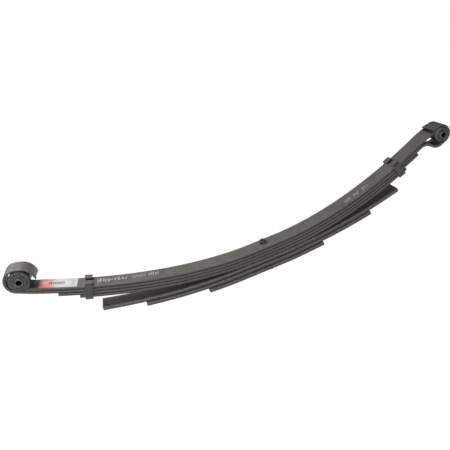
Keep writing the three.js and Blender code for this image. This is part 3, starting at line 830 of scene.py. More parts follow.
def nut_grid(bore, segments=96):
    """Radius is the smaller of the hexagon's flat distance and the chamfer cone, at each angle and height."""
    angle = turn_angles(segments)
    flat = (angle + np.pi / 6) % (np.pi / 3) - np.pi / 6
    hexagon = NUT_FLATS / 2 / np.cos(flat)
    height = np.linspace(-1, 1, 21) * NUT_HEIGHT / 2
    cone = NUT_FLATS / 2 + 0.1 + (NUT_HEIGHT / 2 - np.abs(height)) * NUT_CHAMFER_SLOPE
    radius = np.minimum(hexagon[None], cone[:, None])
    high = np.broadcast_to(height[:, None], radius.shape)
    outside = np.stack([radius * np.cos(angle), radius * np.sin(angle), high], -1)
    inner = lathe_grid(np.array([(bore, NUT_HEIGHT / 2), (bore, -NUT_HEIGHT / 2)]), segments)
    grid = np.concatenate([outside, inner])
    return grid - np.array([0, 0, STACK_DEPTH + LEAF_GAP + NUT_HEIGHT / 2])


pieces["centre_nut"] = mesh_object("centre_nut_steel", nut_grid(BOLT / 2 + LEAF_GAP), closed=True)
print("bolt end in mm:", round(bolt_end, 2))

# %% [markdown]
# ## Rivets
# A rivet holds each clip to the fourth leaf, and its domed head shows from below.
# Half a sphere and a cylinder could be joined for it, but one turned profile has no
# seam.

# %% Rivets
RIVET_HEAD, RIVET_SHANK, RIVET_DOME = 14, 8, 4.5


def rivet_piece(name, x):
    """Button head under the clip, shank through it, countersunk end in the fourth leaf."""
    base = -2 * LEAF_GAP - CLIP_THICKNESS
    dome = np.radians(np.linspace(82, 0, 8))
    head = np.stack([RIVET_HEAD / 2 * np.cos(dome), base - RIVET_DOME * np.sin(dome)], -1)
    end = THIN - 0.05
    upper = [(RIVET_SHANK / 2, base), (RIVET_SHANK / 2, THIN - 3), (RIVET_HEAD / 2, end), (0.6, end)]
    profile = np.concatenate([head, upper])
    return mesh_object(name, on_camber(lathe_grid(profile, 40), x))


for end, x in CLIP_X.items():
    pieces[end + "_clip_rivet"] = rivet_piece(end + "_clip_rivet_steel", x)
print("pieces so far:", len(pieces))

# %% [markdown]
# ## Rubber bushes
# Each eye holds two moulded rubber halves, pushed in from both sides, with a flange
# that covers the end of the eye. Moulds leave steps: a collar round the sleeve, a
# groove, a raised ring and a rounded lip. They could be stacked up from cylinders,
# but one closed profile of radius and depth holds all the steps in order.

# %% Bush profile
FLANGE, COLLAR = 5, 2.4
FIT_GAP = 0.3
RING_SHARE = 0.34
SLEEVE_LENGTH, SLEEVE_BORE = 70, 14.2


def bush_radii(eye):
    """Radii of the sleeve hole, the barrel, the raised ring and the lip."""
    inner = eye["sleeve"] / 2 + FIT_GAP
    barrel = eye["bore"] / 2 - FIT_GAP
    lip = eye["flange"] / 2 - eye["trim"]
    return inner, barrel, barrel + (lip - barrel) * RING_SHARE, lip


def bush_profile(eye):
    """Closed profile of (radius, distance from the eye's middle), from the barrel to the flange's face."""
    inner, barrel, ring, lip = bush_radii(eye)
    seat = LEAF_WIDTH / 2 + FIT_GAP
    face = seat + FLANGE
    return [
        (inner, FIT_GAP),
        (barrel, FIT_GAP),
        (barrel, seat),
        (lip - 0.6, seat),
        (lip, seat + 0.8),
        (lip, face - 2.8),
        (lip - 1.5, face - 0.8),
        (lip - 3.6, face),
        (ring + 2.2, face),
        (ring + 1.5, face - 0.7),
        (ring - 1.0, face - 0.7),
        (ring - 1.6, face),
        (barrel + 1.2, face),
        (barrel + 0.2, face + COLLAR),
        (inner + 2.2, face + COLLAR),
        (inner + 0.8, face + COLLAR - 0.9),
        (inner, face + COLLAR - 1.6),
    ]


print("rear bush radii in mm:", np.round(bush_radii(REAR_EYE), 2))

# %% [markdown]
# ## Turn the bushes
# The raised ring carries small pips from the mould's vents. A Displace modifier could
# lift them, but a height that depends on both the radius and the angle is exact. The
# rubber gets painted shade at the foot of the collar, and on the large rear bush along
# the lip too, where the curled leaf end keeps the light off.

# %% Bush halves
BUSH_SEGMENTS, VENTS = 192, 24
PIP = dict(height=0.9, width=0.9)


def bump_at(values, middle, width):
    """A bell curve of the values about a middle."""
    return np.exp(-(((values - middle) / width) ** 2))


def bush_piece(name, eye, axis, side):
    """The turned profile with vent pips, its axis laid along Y towards one side."""
    profile = soften(bush_profile(eye), 0.45, closed=True)
    grid = lathe_grid(profile, BUSH_SEGMENTS)
    radius, height = profile.T
    barrel, ring = bush_radii(eye)[1:3]
    near_ring = bump_at(radius, ring + 0.2, PIP["width"]) * (height > 28)
    pips = np.maximum(0, np.cos(VENTS * turn_angles(BUSH_SEGMENTS))) ** 3
    grid[..., 2] += PIP["height"] * near_ring[:, None] * pips[None]
    lip_shadow = np.clip((radius - radius.max() + 2.2) / 1.4, 0, 1) * (eye["trim"] > 1)
    shadow = np.maximum(lip_shadow, 0.8 * bump_at(radius, barrel + 0.8, 0.7)) * (height > LEAF_WIDTH / 2)
    return mesh_object(name, along_y(grid, axis, side), shadow[:, None], closed=True)


for end, eye, axis in (("rear", REAR_EYE, rear_eye), ("front", FRONT_EYE, front_eye)):
    for half, side in (("near", -1), ("far", 1)):
        pieces[f"{end}_bush_{half}"] = bush_piece(f"{end}_bush_{half}_rubber", eye, axis, side)
print("pieces so far:", len(pieces))

# %% [markdown]
# ## Steel sleeves
# A thick tube runs through each pair of bushes and is clamped by the hanger or
# shackle bolt. Its end faces are finely serrated on the real part so that they bite.
# A bump pattern could hint at that, but teeth in the mesh hold from any side, so they
# are a small wave of the height with the angle. It stops short of both rims.

# %% Sleeves
TEETH, TOOTH = 42, 0.12
SLEEVE_SEGMENTS = 168


def sleeve_piece(name, eye, axis):
    """A closed tube profile turned about Y, with radial serrations on the two end faces."""
    outer, bore, half = eye["sleeve"] / 2, SLEEVE_BORE / 2, SLEEVE_LENGTH / 2
    face = np.linspace(outer - 0.9, bore + 0.6, 6)
    far_end = [(radius, half) for radius in face]
    near_end = [(radius, -half) for radius in face[::-1]]
    walls = [(outer, -half + 0.8), (outer, half - 0.8)], [(bore, half - 0.6), (bore, -half + 0.6)]
    profile = np.array([*walls[0], *far_end, *walls[1], *near_end])
    grid = lathe_grid(profile, SLEEVE_SEGMENTS)
    radius, height = profile.T
    on_face = (np.abs(height) > half - 0.01) & (radius > face.min() + 0.1) & (radius < face.max() - 0.1)
    bite = TOOTH * (np.cos(TEETH * turn_angles(SLEEVE_SEGMENTS)) - 1)
    grid[..., 2] += (np.sign(height) * on_face)[:, None] * bite[None]
    return mesh_object(name, along_y(grid, axis, -1), closed=True)


pieces["rear_sleeve"] = sleeve_piece("rear_sleeve_tube", REAR_EYE, rear_eye)
pieces["front_sleeve"] = sleeve_piece("front_sleeve_tube", FRONT_EYE, front_eye)
print("bushes and sleeves:", len(pieces))

# %% [markdown]
# ## Label
# A paper label sits on the main leaf near the rear eye, stuck on a little aslant. A
# plane with Shrinkwrap could be laid there, but the swept bar, thin as card, follows
# the leaf by the same formula as the leaf itself.

# %% Label sheet
LABEL = dict(start=-584, end=-496.5, width=47, thickness=0.35, gap=0.3, skew=0.07)
LABEL_STATIONS = 40


def label_piece(name):
    """A thin flat bar, then each point laid on the leaf: a station skewed by y and a height over the face."""
    stations = np.linspace(LABEL["start"], LABEL["end"], LABEL_STATIONS)
    heights = np.full(LABEL_STATIONS, LABEL["gap"] + LABEL["thickness"] / 2)
    line = np.stack([stations, heights], -1)
    flat, side = bar_rings(line, LABEL["thickness"], LABEL["width"], 0.16, ease=0.1)
    placed = stack_point(flat[..., 0] + LABEL["skew"] * side, -flat[..., 1])
    return mesh_object(name, np.stack([placed[..., 0], side, placed[..., 1]], -1))


pieces["label"] = label_piece("label_paper")
print("label length in mm:", LABEL["end"] - LABEL["start"])

# %% [markdown]
# ## Paint marks
# Short strokes of white paint were put on the leaf by hand. They could be a mask in
# the leaf's material, but paint this thick has edges of its own, so each stroke is a
# small slab with its corners on the curved face, worked out for all strokes at once.
# Each run of marks says where it starts and ends along the leaf, its middle and
# height across it, how many strokes it has and how wide they are. A seeded random
# generator leans and shifts them, and short dashes join them.

# %% Paint strokes
MARK_RUNS = [
    (-449, -422, 0, 20, 5, 2.4),
    (-417, -412, 0, 4, 2, 2.6),
    (-406, -379, 1, 20, 4, 2.1),
    (-361, -331, 2, 15, 7, 1.3),
    (-320, -298, 3, 18, 5, 2.2),
    (252, 268, -9, 17, 4, 1.4),
    (283, 296, -8, 16, 3, 1.3),
    (312, 326, -8, 16, 3, 1.5),
]
MARK_SEED = 4
MARK_SINK, MARK_RISE = 0.05, 0.12


def stroke_corners(rng):
    """Two ends and a width for every stroke: evenly spread, then leaned and shifted by seeded amounts."""
    starts, ends, widths = [], [], []
    for first, last, middle, height, count, width in MARK_RUNS:
        x = np.linspace(first, last, count) + rng.uniform(-0.8, 0.8, count)
        lean = rng.uniform(-2.4, 2.4, count)
        low = middle - height / 2 * rng.uniform(0.5, 1.0, count)
        high = middle + height / 2 * rng.uniform(0.6, 1.0, count)
        starts.append(np.stack([x - lean / 2, low], -1))
        ends.append(np.stack([x + lean / 2, high], -1))
        widths.append(width * rng.uniform(0.75, 1.15, count))
        dash = middle + height * rng.uniform(-0.3, 0.3, count - 1)
        starts.append(np.stack([x[:-1] + 1.6, dash], -1))
        ends.append(np.stack([x[1:] - 1.6, dash + rng.uniform(-2, 2, count - 1)], -1))
        widths.append(np.full(count - 1, 0.8 * width))
    return np.concatenate(starts), np.concatenate(ends), np.concatenate(widths)


def strokes_piece(name):
    """Eight corners for each slab: the flat outline at two heights over the leaf."""
    start, end, width = stroke_corners(np.random.default_rng(MARK_SEED))
    along = (end - start) / np.linalg.norm(end - start, axis=1, keepdims=True)
    across = np.stack([-along[:, 1], along[:, 0]], -1) * width[:, None] / 2
    outline = np.stack([start - across, start + across, end + across, end - across], 1)
    corners = []
    for depth in (MARK_SINK, -MARK_RISE):
        laid = stack_point(outline[..., 0], depth)
        corners.append(np.stack([laid[..., 0], outline[..., 1], laid[..., 1]], -1))
    box = np.array([[0, 1, 2, 3], [7, 6, 5, 4], [0, 4, 5, 1], [1, 5, 6, 2], [2, 6, 7, 3], [3, 7, 4, 0]])
    faces = (np.arange(len(start))[:, None, None] * 8 + box[None]).reshape(-1, 4)
    return linked_mesh(name, np.concatenate(corners, 1), faces.tolist())


marks = strokes_piece("inspection_marks")
print("strokes:", len(marks.data.polygons) // 6)

# %% [markdown]
# ## Which way the faces point
# A turned or swept grid can come out inside out, which only shows later as black or
# see-through faces in an export. Recalculate Outside could be run by hand. Here the
# volume is measured: for a closed mesh it is the sum of the signed tetrahedra from
# the origin to each triangle, and it is positive when the faces point out. A mesh
# with a negative sum is turned.

# %% Check the volumes


def signed_volume(piece):
    """Sum over triangles of a . (b x c) / 6."""
    mesh = piece.data
    mesh.calc_loop_triangles()
    points = np.empty(len(mesh.vertices) * 3)
    mesh.vertices.foreach_get("co", points)
    corners = np.empty(len(mesh.loop_triangles) * 3, int)
    mesh.loop_triangles.foreach_get("vertices", corners)
    a, b, c = np.moveaxis(points.reshape(-1, 3)[corners.reshape(-1, 3)], 1, 0)
    return float((a * np.cross(b, c)).sum() / 6)


for piece in [*pieces.values(), marks]:
    if signed_volume(piece) < 0:
        piece.data.flip_normals()
        print("turned outside in:", piece.name)
print("all volumes are positive")

# %% [markdown]
# ## Node helpers
# A finish is a small network of nodes. It could be drawn in the editor, but then it
# can't be repeated, and writing each node out in full hides the idea. So two helpers
# add a node with its settings and link it to the next, and two more stand for the
# steps that come again and again: noise and a clamped ramp.

# %% Helpers for shader trees


def add(tree, kind, **settings):
    """A node of the given kind with its properties set."""
    node = tree.nodes.new(kind)
    for key, value in settings.items():
        setattr(node, key, value)
    return node


def feed(tree, node, **inputs):
    """Sets or links a node's inputs by name, with underscores for blanks, or by number after an i."""
    for key, value in inputs.items():
        numbered = key[0] == "i" and key[1:].isdigit()
        socket = node.inputs[int(key[1:]) if numbered else key.replace("_", " ")]
        if hasattr(value, "links"):
            tree.links.new(value, socket)
        else:
            socket.default_value = value
    return node


def noise(tree, vector, scale, detail=3.0, rough=0.55):
    """Noise of the given number of features for each metre."""
    node = add(tree, "ShaderNodeTexNoise")
    feed(tree, node, Vector=vector, Scale=scale, Detail=detail, Roughness=rough)
    return node.outputs["Fac"]


def ramp(tree, fac, low, high, start=0.0, end=1.0):
    """Maps fac from the span low to high onto start to end, clamped."""
    node = add(tree, "ShaderNodeMapRange")
    feed(tree, node, Value=fac, From_Min=low, From_Max=high, To_Min=start, To_Max=end)
    return node.outputs["Result"]


print("node helpers ready")

# %% [markdown]
# ## Masks and colours
# Dust, rust and wear are masks, and a mask is made of sums and products of other
# masks. Each Math node could be placed on its own, but a chain of them reads more
# easily as one call that takes all its values.

# %% Helpers for masks and colours


def maths(tree, operation, *values):
    """One arithmetic operation carried from value to value."""
    result = values[0]
    for value in values[1:]:
        node = add(tree, "ShaderNodeMath", operation=operation)
        feed(tree, node, i0=result, i1=value)
        result = node.outputs[0]
    return result


def times(tree, *values):
    """The product of the values."""
    return maths(tree, "MULTIPLY", *values)


def plus(tree, *values):
    """The sum of the values."""
    return maths(tree, "ADD", *values)


def blend_colour(tree, fac, a, b, kind="MIX"):
    """Mixes colour a towards colour b by fac."""
    node = add(tree, "ShaderNodeMix", data_type="RGBA", blend_type=kind)
    feed(tree, node, i0=fac, i6=a, i7=b)
    return node.outputs[2]


def separate(tree, vector):
    """The three parts of a vector."""
    node = add(tree, "ShaderNodeSeparateXYZ")
    feed(tree, node, Vector=vector)
    return node.outputs


def shade_and_grime_value(tree):
    """The number for painted shade, with some grime, stored with each mesh."""
    return add(tree, "ShaderNodeAttribute", attribute_name="shade_and_grime").outputs["Fac"]


def mapped(tree, vector, **settings):
    """A vector through a Mapping node."""
    node = add(tree, "ShaderNodeMapping")
    feed(tree, node, Vector=vector, **settings)
    return node.outputs[0]


print("mask helpers ready")

# %% [markdown]
# ## Groups and materials
# Several materials share one idea, such as worn paint. It could be copied into each,
# but a group, a network of its own with named sockets, is built once. Each group here
# gives a colour, a roughness and a height. The Principled shader and the Bump node
# stay in each material, so that a leaf, a strap and a bolt can differ in tone and
# wear.

# %% Groups and plain materials
COLOUR, FLOAT, VECTOR = "NodeSocketColor", "NodeSocketFloat", "NodeSocketVector"
# The colour that painted shade goes towards.
NEAR_BLACK = (0.012, 0.011, 0.01, 1)


def new_group(name, inputs):
    """A group with a Vector and the given sockets; returns its tree, its inputs and its output node."""
    tree = bpy.data.node_groups.new(name, "ShaderNodeTree")
    for label, kind, value in [("Vector", VECTOR, None), *inputs]:
        socket = tree.interface.new_socket(label, in_out="INPUT", socket_type=kind)
        if value is not None:
            socket.default_value = value
    for label, kind in (("Color", COLOUR), ("Roughness", FLOAT), ("Height", FLOAT)):
        tree.interface.new_socket(label, in_out="OUTPUT", socket_type=kind)
    return tree, tree.nodes.new("NodeGroupInput").outputs, tree.nodes.new("NodeGroupOutput")


def bare_material(name):
    """A material with only its output, a Principled shader and object coordinates."""
    material = bpy.data.materials.new(name)
    material.use_nodes = True
    tree = material.node_tree
    coordinates = add(tree, "ShaderNodeTexCoord")
    return material, tree, tree.nodes["Principled BSDF"], coordinates.outputs["Object"]


def dress(tree, shader, colour, rough, height, depth):
    """Feeds a shader its colour and roughness, and its normal from a height by way of a Bump node."""
    bump = add(tree, "ShaderNodeBump")
    feed(tree, bump, Strength=1.0, Distance=depth, Height=height)
    feed(tree, shader, Base_Color=colour, Roughness=rough, Normal=bump.outputs[0])


def group_material(name, group, depth, shader_values, group_values, centre=(0, 0)):
    """A material that takes its looks from a group, on coordinates from a centre in millimetres."""
    material, tree, shader, where = bare_material(name)
    node = add(tree, "ShaderNodeGroup", node_tree=group)
    moved = mapped(tree, where, Location=(-centre[0] / 1000, 0, -centre[1] / 1000))
    feed(tree, node, Vector=moved)
    for key, value in group_values.items():
        node.inputs[key].default_value = value
    dress(tree, shader, node.outputs["Color"], node.outputs["Roughness"], node.outputs["Height"], depth)
    for key, value in shader_values.items():
        shader.inputs[key].default_value = value
    return material


print("material helpers ready")

# %% [markdown]
# ## Spring paint
# The leaves are dipped in a thin warm grey paint over rolled steel. Close up it has a
# fine grain, long faint streaks from the rolling, cloudy patches where it dried
# thicker, pale dust on faces that look up, a brown tinge underneath and paler edges
# where handling polished it. The grooves get painted shade. An image could hold all
# of that for one leaf, but noise of several sizes suits every leaf and has no pixels
# to show.

# %% The paint group
PATCH_DARK, PATCH_LIGHT = (0.76, 0.75, 0.74, 1), (1.22, 1.22, 1.21, 1)
WORN_EDGE = (0.3, 0.29, 0.275, 1)
# How far the painted shade goes towards near black.
SHADE_STRENGTH = 0.85

paint_group, given, outgoing = new_group(
    "Painted spring steel",
    [
        ("Paint", COLOUR, (0.12, 0.115, 0.107, 1)),
        ("Dust", COLOUR, (0.32, 0.31, 0.29, 1)),
        ("Rust", COLOUR, (0.06, 0.042, 0.03, 1)),
        ("Dust amount", FLOAT, 0.25),
        ("Rust amount", FLOAT, 0.35),
        ("Edge wear", FLOAT, 0.5),
    ],
)
tree = paint_group
vector = given["Vector"]
clouds = noise(tree, vector, 22, 4)
streaks = noise(tree, mapped(tree, vector, Scale=(0.12, 1, 1)), 260, 3, 0.6)
flecks = noise(tree, vector, 330, 3, 0.65)
grain = noise(tree, vector, 1500, 2, 0.6)
scale_pits = noise(tree, vector, 420, 3, 0.7)
geometry = add(tree, "ShaderNodeNewGeometry")
upwards = separate(tree, geometry.outputs["Normal"])[2]
looks_up = ramp(tree, upwards, 0.55, 0.98)
looks_down = ramp(tree, upwards, 0.1, -0.7)
tone = plus(tree, times(tree, clouds, 0.4), times(tree, streaks, 0.3), times(tree, flecks, 0.3))
patchy = blend_colour(tree, ramp(tree, tone, 0.3, 0.7), PATCH_DARK, PATCH_LIGHT)
mottled = blend_colour(tree, 1.0, given["Paint"], patchy, "MULTIPLY")
dust_patches = ramp(tree, noise(tree, vector, 60, 4, 0.7), 0.35, 0.75)
dusty = times(tree, looks_up, dust_patches, given["Dust amount"])
with_dust = blend_colour(tree, dusty, mottled, given["Dust"])
rust_spots = ramp(tree, scale_pits, 0.66, 0.76)
rusty = times(tree, maths(tree, "MAXIMUM", looks_down, rust_spots), given["Rust amount"])
with_rust = blend_colour(tree, rusty, with_dust, given["Rust"])
convex = ramp(tree, geometry.outputs["Pointiness"], 0.505, 0.53)
wear_patches = ramp(tree, noise(tree, vector, 90, 4, 0.7), 0.4, 0.62)
worn = times(tree, convex, wear_patches, given["Edge wear"])
edged = blend_colour(tree, worn, with_rust, WORN_EDGE)
# Painted shade in gaps, folds and recesses, from the number stored with the mesh.
shaded_paint = blend_colour(tree, times(tree, shade_and_grime_value(tree), SHADE_STRENGTH), edged, NEAR_BLACK)
rough = plus(tree, ramp(tree, clouds, 0.3, 0.7, 0.34, 0.46), times(tree, dusty, 0.5))
rough = maths(tree, "SUBTRACT", rough, times(tree, worn, 0.12))
height = plus(tree, times(tree, grain, 0.35), times(tree, scale_pits, 0.8), times(tree, streaks, 0.5))
feed(tree, outgoing, Color=shaded_paint, Roughness=rough, Height=height)
print("paint group nodes:", len(tree.nodes))

# %% [markdown]
# ## Tones of the paint
# The thin leaves, the helpers, the clips and the fasteners differ a little in tone.
# One material could serve for all, but then the spring would look cast in one piece.
# So each kind gets its own tone of the group, with more or less dust, rust and wear.

# %% Paints for leaves, clips and fasteners
PAINT_BUMP = 0.00012


def paint(name, colour, **changes):
    """A spring paint of the given colour."""
    values = {key.replace("_", " "): value for key, value in changes.items()}
    values["Paint"] = (*colour, 1)
    return group_material(name, paint_group, PAINT_BUMP, {"Specular IOR Level": 0.6}, values)


upper_paint = paint("spring_paint_upper", (0.138, 0.129, 0.117))
lower_paint = paint("spring_paint_lower", (0.14, 0.129, 0.116), Rust_amount=0.5, Edge_wear=0.7)
clip_paint = paint("clip_paint", (0.13, 0.128, 0.123), Edge_wear=0.8, Dust_amount=0.15)
bolt_paint = paint("fastener_paint", (0.02, 0.019, 0.018), Edge_wear=0.5, Dust_amount=0.05)
print("paints made")

# %% [markdown]
# ## Rubber
# The bushes are black moulded rubber with a dusty bloom and pale specks of talc left
# from fitting. A plain dark grey with high roughness could pass for it from afar. Two
# sizes of noise, one soft for the bloom and one with a hard cut for the specks, keep
# it from looking new. The grooves and the lip get painted shade as on the leaves.

# %% Rubber group
BLOOM_COLOUR, TALC = (0.24, 0.24, 0.236, 1), (0.42, 0.41, 0.39, 1)

rubber_group, given, outgoing = new_group(
    "Moulded rubber", [("Rubber", COLOUR, (0.08, 0.08, 0.08, 1)), ("Bloom", FLOAT, 0.9)]
)
tree = rubber_group
vector = given["Vector"]
bloom = times(tree, ramp(tree, noise(tree, vector, 110, 4, 0.65), 0.38, 0.68), given["Bloom"])
specks = ramp(tree, noise(tree, vector, 520, 2, 0.5), 0.62, 0.7)
skin = noise(tree, vector, 2600, 2, 0.6)
powdered = blend_colour(tree, bloom, given["Rubber"], BLOOM_COLOUR)
speckled = blend_colour(tree, times(tree, specks, 0.75), powdered, TALC)
shaded = blend_colour(tree, shade_and_grime_value(tree), speckled, NEAR_BLACK)
height = plus(tree, times(tree, skin, 0.4), specks)
feed(tree, outgoing, Color=shaded, Roughness=ramp(tree, bloom, 0, 1, 0.55, 0.85), Height=height)
rubber = group_material("bush_rubber", rubber_group, 0.0001, {"Specular IOR Level": 0.4}, {})
print("rubber group nodes:", len(tree.nodes))

# %% [markdown]
# ## Steel
# The sleeves are dull steel with turning marks round their axis, a few brown spots
# and a dark bore. An anisotropic shader could stretch the highlight, but the marks
# themselves are simply a sine of the distance from the axis. One group serves both
# eyes, because each material measures its coordinates from its own eye's axis.

# %% Sleeve group
BROWN_SPOT, DARK_BORE = (0.1, 0.06, 0.035, 1), (0.035, 0.034, 0.033, 1)
TURNING = 16000
BORE_EDGE = SLEEVE_BORE / 2000

steel_group, given, outgoing = new_group(
    "Turned steel", [("Steel", COLOUR, (0.12, 0.118, 0.114, 1)), ("Rust amount", FLOAT, 0.6)]
)
tree = steel_group
vector = given["Vector"]
radius = add(tree, "ShaderNodeVectorMath", operation="LENGTH")
feed(tree, radius, i0=mapped(tree, vector, Scale=(1, 0, 1)))
distance = radius.outputs["Value"]
tool_marks = maths(tree, "SINE", times(tree, distance, TURNING), 0.0)
spots = ramp(tree, noise(tree, vector, 240, 4, 0.7), 0.55, 0.68)
spots = times(tree, spots, given["Rust amount"])
browned = blend_colour(tree, spots, given["Steel"], BROWN_SPOT)
inside = ramp(tree, distance, BORE_EDGE + 0.0006, BORE_EDGE + 0.0002)
darkened = blend_colour(tree, inside, browned, DARK_BORE)
height = plus(tree, times(tree, tool_marks, 0.3), spots)
feed(tree, outgoing, Color=darkened, Roughness=ramp(tree, spots, 0, 0.6, 0.42, 0.75), Height=height)


def sleeve_steel(name, axis, colour):
    """Turned steel whose ring marks are centred on one eye's axis."""
    colours = {"Steel": (*colour, 1)}
    return group_material(name, steel_group, 0.00004, {"Metallic": 0.45}, colours, axis)


rear_steel = sleeve_steel("rear_sleeve_steel", rear_eye, (0.17, 0.168, 0.164))
front_steel = sleeve_steel("front_sleeve_steel", front_eye, (0.26, 0.245, 0.235))
print("steel group nodes:", len(tree.nodes))

# %% [markdown]
# ## Label print
# The label is white paper with a red block at its left whose edge is a curve. Over it
# there are a pale patch, a row of dark blocks and a panel of grey rules. A picture
# could be laid on it, but shapes made from coordinates stay sharp at any size. The
# red block is a comparison of the place along the label with a curve of the place
# across it, and each other mark is a window along the label times a band about its
# middle.

# %% Label material
PAPER_COLOURS = (0.64, 0.64, 0.636, 1), (0.74, 0.74, 0.735, 1)
INK_COLOURS = (0.97, 0.27, 0.22, 1), (0.98, 0.36, 0.31, 1)
PALE_INK, DARK_INK, SOIL = (0.98, 0.8, 0.73, 1), (0.1, 0.1, 0.105, 1), (0.35, 0.33, 0.3, 1)
RED_END, RED_BOW = 0.0165, 20.0
BLOCK_PITCH, RULE_PITCH = 1500.0, 1700.0


def window(tree, along, start, end, soft=0.001):
    """One between two places along the label and nought outside, with soft ends."""
    return times(tree, ramp(tree, along, start, start + soft), ramp(tree, along, end, end - soft))


def band(tree, across, half, soft):
    """One near the label's middle line and nought beyond half a width."""
    return ramp(tree, maths(tree, "ABSOLUTE", across, 0.0), half, half - soft)


def wave(tree, value, pitch, low, high):
    """Evenly spaced stripes: a sine of the value, cut off between low and high."""
    return ramp(tree, maths(tree, "SINE", times(tree, value, pitch), 0.0), low, high)


def label_material():
    """Paper, red block, blocks, rules and a little soiling on coordinates centred on the label."""
    material, tree, shader, where = bare_material("label_paper")
    middle = stack_point(np.array([(LABEL["start"] + LABEL["end"]) / 2]), 0)[0] / 1000
    along, across = separate(tree, mapped(tree, where, Location=(-middle[0], 0, 0)))[:2]
    bowed = times(tree, across, across, RED_BOW)
    red = ramp(tree, plus(tree, maths(tree, "SUBTRACT", along, bowed), RED_END), 0.0004, -0.0004)
    blotch = ramp(tree, noise(tree, where, 130, 4, 0.6), 0.3, 0.7)
    paper = blend_colour(tree, blotch, *PAPER_COLOURS)
    printed = blend_colour(tree, red, paper, blend_colour(tree, blotch, *INK_COLOURS))
    pale = times(tree, band(tree, across, 0.0105, 0.0015), window(tree, along, -0.039, -0.019), 0.7)
    pale = times(tree, pale, ramp(tree, blotch, 0.3, 0.7))
    printed = blend_colour(tree, pale, printed, PALE_INK)
    blocks = times(tree, wave(tree, along, BLOCK_PITCH, -0.8, -0.2), band(tree, across, 0.0064, 0.0012), 0.85)
    blocks = times(tree, blocks, window(tree, along, -0.0225, 0.0145))
    panel = times(tree, wave(tree, across, RULE_PITCH, 0.2, 0.75), window(tree, along, 0.029, 0.037, 0.0006))
    panel = times(tree, panel, 0.6, band(tree, across, 0.017, 0.001))
    final = blend_colour(tree, maths(tree, "MAXIMUM", blocks, panel), printed, DARK_INK)
    soil = ramp(tree, noise(tree, where, 45, 5, 0.7), 0.6, 0.8, 0.0, 0.25)
    soiled = blend_colour(tree, soil, final, SOIL)
    rough = ramp(tree, blotch, 0, 1, 0.42, 0.55)
    dress(tree, shader, soiled, rough, noise(tree, where, 1800, 3, 0.6), 0.00005)
    return material


label_finish = label_material()
print("label nodes:", len(label_finish.node_tree.nodes))

# %% [markdown]
# ## White paint
# The strokes are thick white paint, thin at places, so that the grey of the leaf
# shows through. The strokes could be made partly transparent there, but a darker tone
# gives the same look and is safe in every renderer.

# %% White paint
THIN_WHITE, THICK_WHITE = (0.28, 0.275, 0.27, 1), (0.74, 0.73, 0.72, 1)

mark_finish, tree, shader, where = bare_material("inspection_paint")
cover = ramp(tree, noise(tree, where, 420, 3, 0.7), 0.35, 0.62)
colour = blend_colour(tree, cover, THIN_WHITE, THICK_WHITE)
dress(tree, shader, colour, ramp(tree, cover, 0, 1, 0.7, 0.5), cover, 0.00006)
print("mark nodes:", len(tree.nodes))

# %% [markdown]
# ## Put the pieces on the CAD
# Each new piece stands for the CAD node of the same place, which is hidden, and rides
# on that node's body, an empty that it is parented to. The two sleeves, which turn in
# their bushes, get bodies of their own, and the rest stays with the spring.

# %% Finish, ride and replace
FINISHES = dict(
    centre_bolt=bolt_paint,
    centre_nut=bolt_paint,
    rear_sleeve=rear_steel,
    front_sleeve=front_steel,
    label=label_finish,
)


def finish_of(node):
    """The finish of a piece, told by its node's name."""
    for word, finish in (("bush", rubber), ("helper", lower_paint), ("leaf", upper_paint)):
        if word in node:
            return finish
    return FINISHES.get(node, clip_paint)


for node, piece in pieces.items():
    piece.data.materials.append(finish_of(node))
    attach(piece, node if "sleeve" in node else "spring")
    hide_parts(node)
marks.data.materials.append(mark_finish)
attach(marks, "spring")
print("pieces on their bodies:", len(pieces) + 1)

# %% [markdown]
# ## Floor, backdrop and light
# Product photos of parts are cut out or shot on a white sweep. A white floor could be
# lit until it burns out, but then it throws light up into every groove. Here the
# floor is a plain pale surface just under the spring. To the camera and in
# reflections it is nearly all its own white, and the small rest of it is lit, so the
# spring still leaves a faint soft shadow. The world is white to the camera too, but
# it lights the spring only dimly, which keeps the grooves dark.

# %% Floor and world
FLOOR_REACH, FLOOR_DROP = 30.0, 0.002
PAPER_WHITE, PAPER_SHARE = 1.08, 0.93
ROOM_STRENGTH = 0.14
WHITE = (1, 1, 1, 1)


def seen_white(tree, lit, white, rays, share, output):
    """Mixes a lit surface with plain white by a share, for the rays of the given kinds."""
    path = add(tree, "ShaderNodeLightPath")
    seen = maths(tree, "MAXIMUM", *[path.outputs[f"Is {ray} Ray"] for ray in rays])
    mix = add(tree, "ShaderNodeMixShader")
    feed(tree, mix, i0=times(tree, seen, share), i1=lit.outputs[0], i2=white.outputs[0])
    tree.links.new(mix.outputs[0], output.inputs["Surface"])


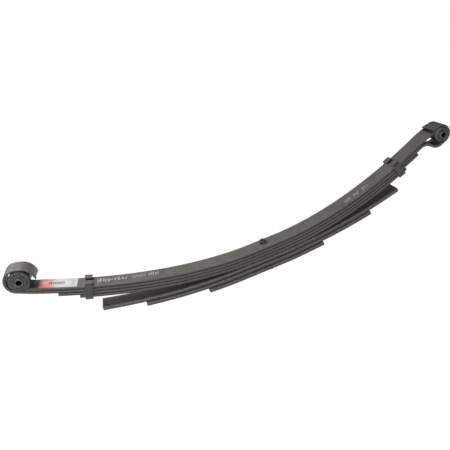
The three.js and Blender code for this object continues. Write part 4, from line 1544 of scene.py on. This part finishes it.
floor_z = float(cad_low.z) - FLOOR_DROP
corners = np.array([(-1, -1), (1, -1), (1, 1), (-1, 1)]) * FLOOR_REACH
floor_mesh = bpy.data.meshes.new("floor")
floor_mesh.from_pydata([(x, y, floor_z) for x, y in corners], [], [(0, 1, 2, 3)])
floor = bpy.data.objects.new("floor", floor_mesh)
bpy.context.scene.collection.objects.link(floor)
floor_paint, tree, shader, where = bare_material("floor_paper")
feed(tree, shader, Base_Color=(0.2, 0.2, 0.2, 1), Roughness=0.9)
white = feed(tree, add(tree, "ShaderNodeEmission"), Color=WHITE, Strength=PAPER_WHITE)
rays = ("Camera", "Glossy", "Transmission")
seen_white(tree, shader, white, rays, PAPER_SHARE, tree.nodes["Material Output"])
floor_mesh.materials.append(floor_paint)

world = bpy.data.worlds.new("studio")
bpy.context.scene.world = world
world.use_nodes = True
tree = world.node_tree
room = feed(tree, tree.nodes["Background"], Color=WHITE, Strength=ROOM_STRENGTH)
white = feed(tree, add(tree, "ShaderNodeBackground"), Color=WHITE, Strength=1.0)
seen_white(tree, room, white, ("Camera",), 1.0, tree.nodes["World Output"])
print("floor height:", floor_z)

# %% [markdown]
# ## Soft boxes
# A studio picture would light the spring well, but three large area lamps show
# plainly what each one does. One stands behind and gives the far edges a little
# light, one hangs above the rear half and lights the top faces there more, and one
# stands low in front for the leaf edges and the bushes.

# %% Lamps


def softbox(name, location, target, size, watts):
    """An area lamp at a place, turned to face a target."""
    lamp = bpy.data.lights.new(name, "AREA")
    lamp.shape, lamp.size, lamp.size_y, lamp.energy = "RECTANGLE", size[0], size[1], watts
    holder = bpy.data.objects.new(name, lamp)
    bpy.context.scene.collection.objects.link(holder)
    holder.location = location
    holder.rotation_euler = (Vector(target) - Vector(location)).to_track_quat("-Z", "Y").to_euler()
    return holder


softbox("back_box", (-1.3, 1.7, 1.3), (-0.2, 0, 0), (1.8, 0.9), 8)
softbox("top_box", (-0.72, 0.1, 1.15), (-0.3, 0, 0), (1.3, 0.9), 15.5)
softbox("front_box", (-0.6, -2.3, 0.7), (0, 0, 0.05), (2.0, 0.6), 15.5)
bpy.context.scene.view_settings.view_transform = "Standard"

# %% [markdown]
# ## Close
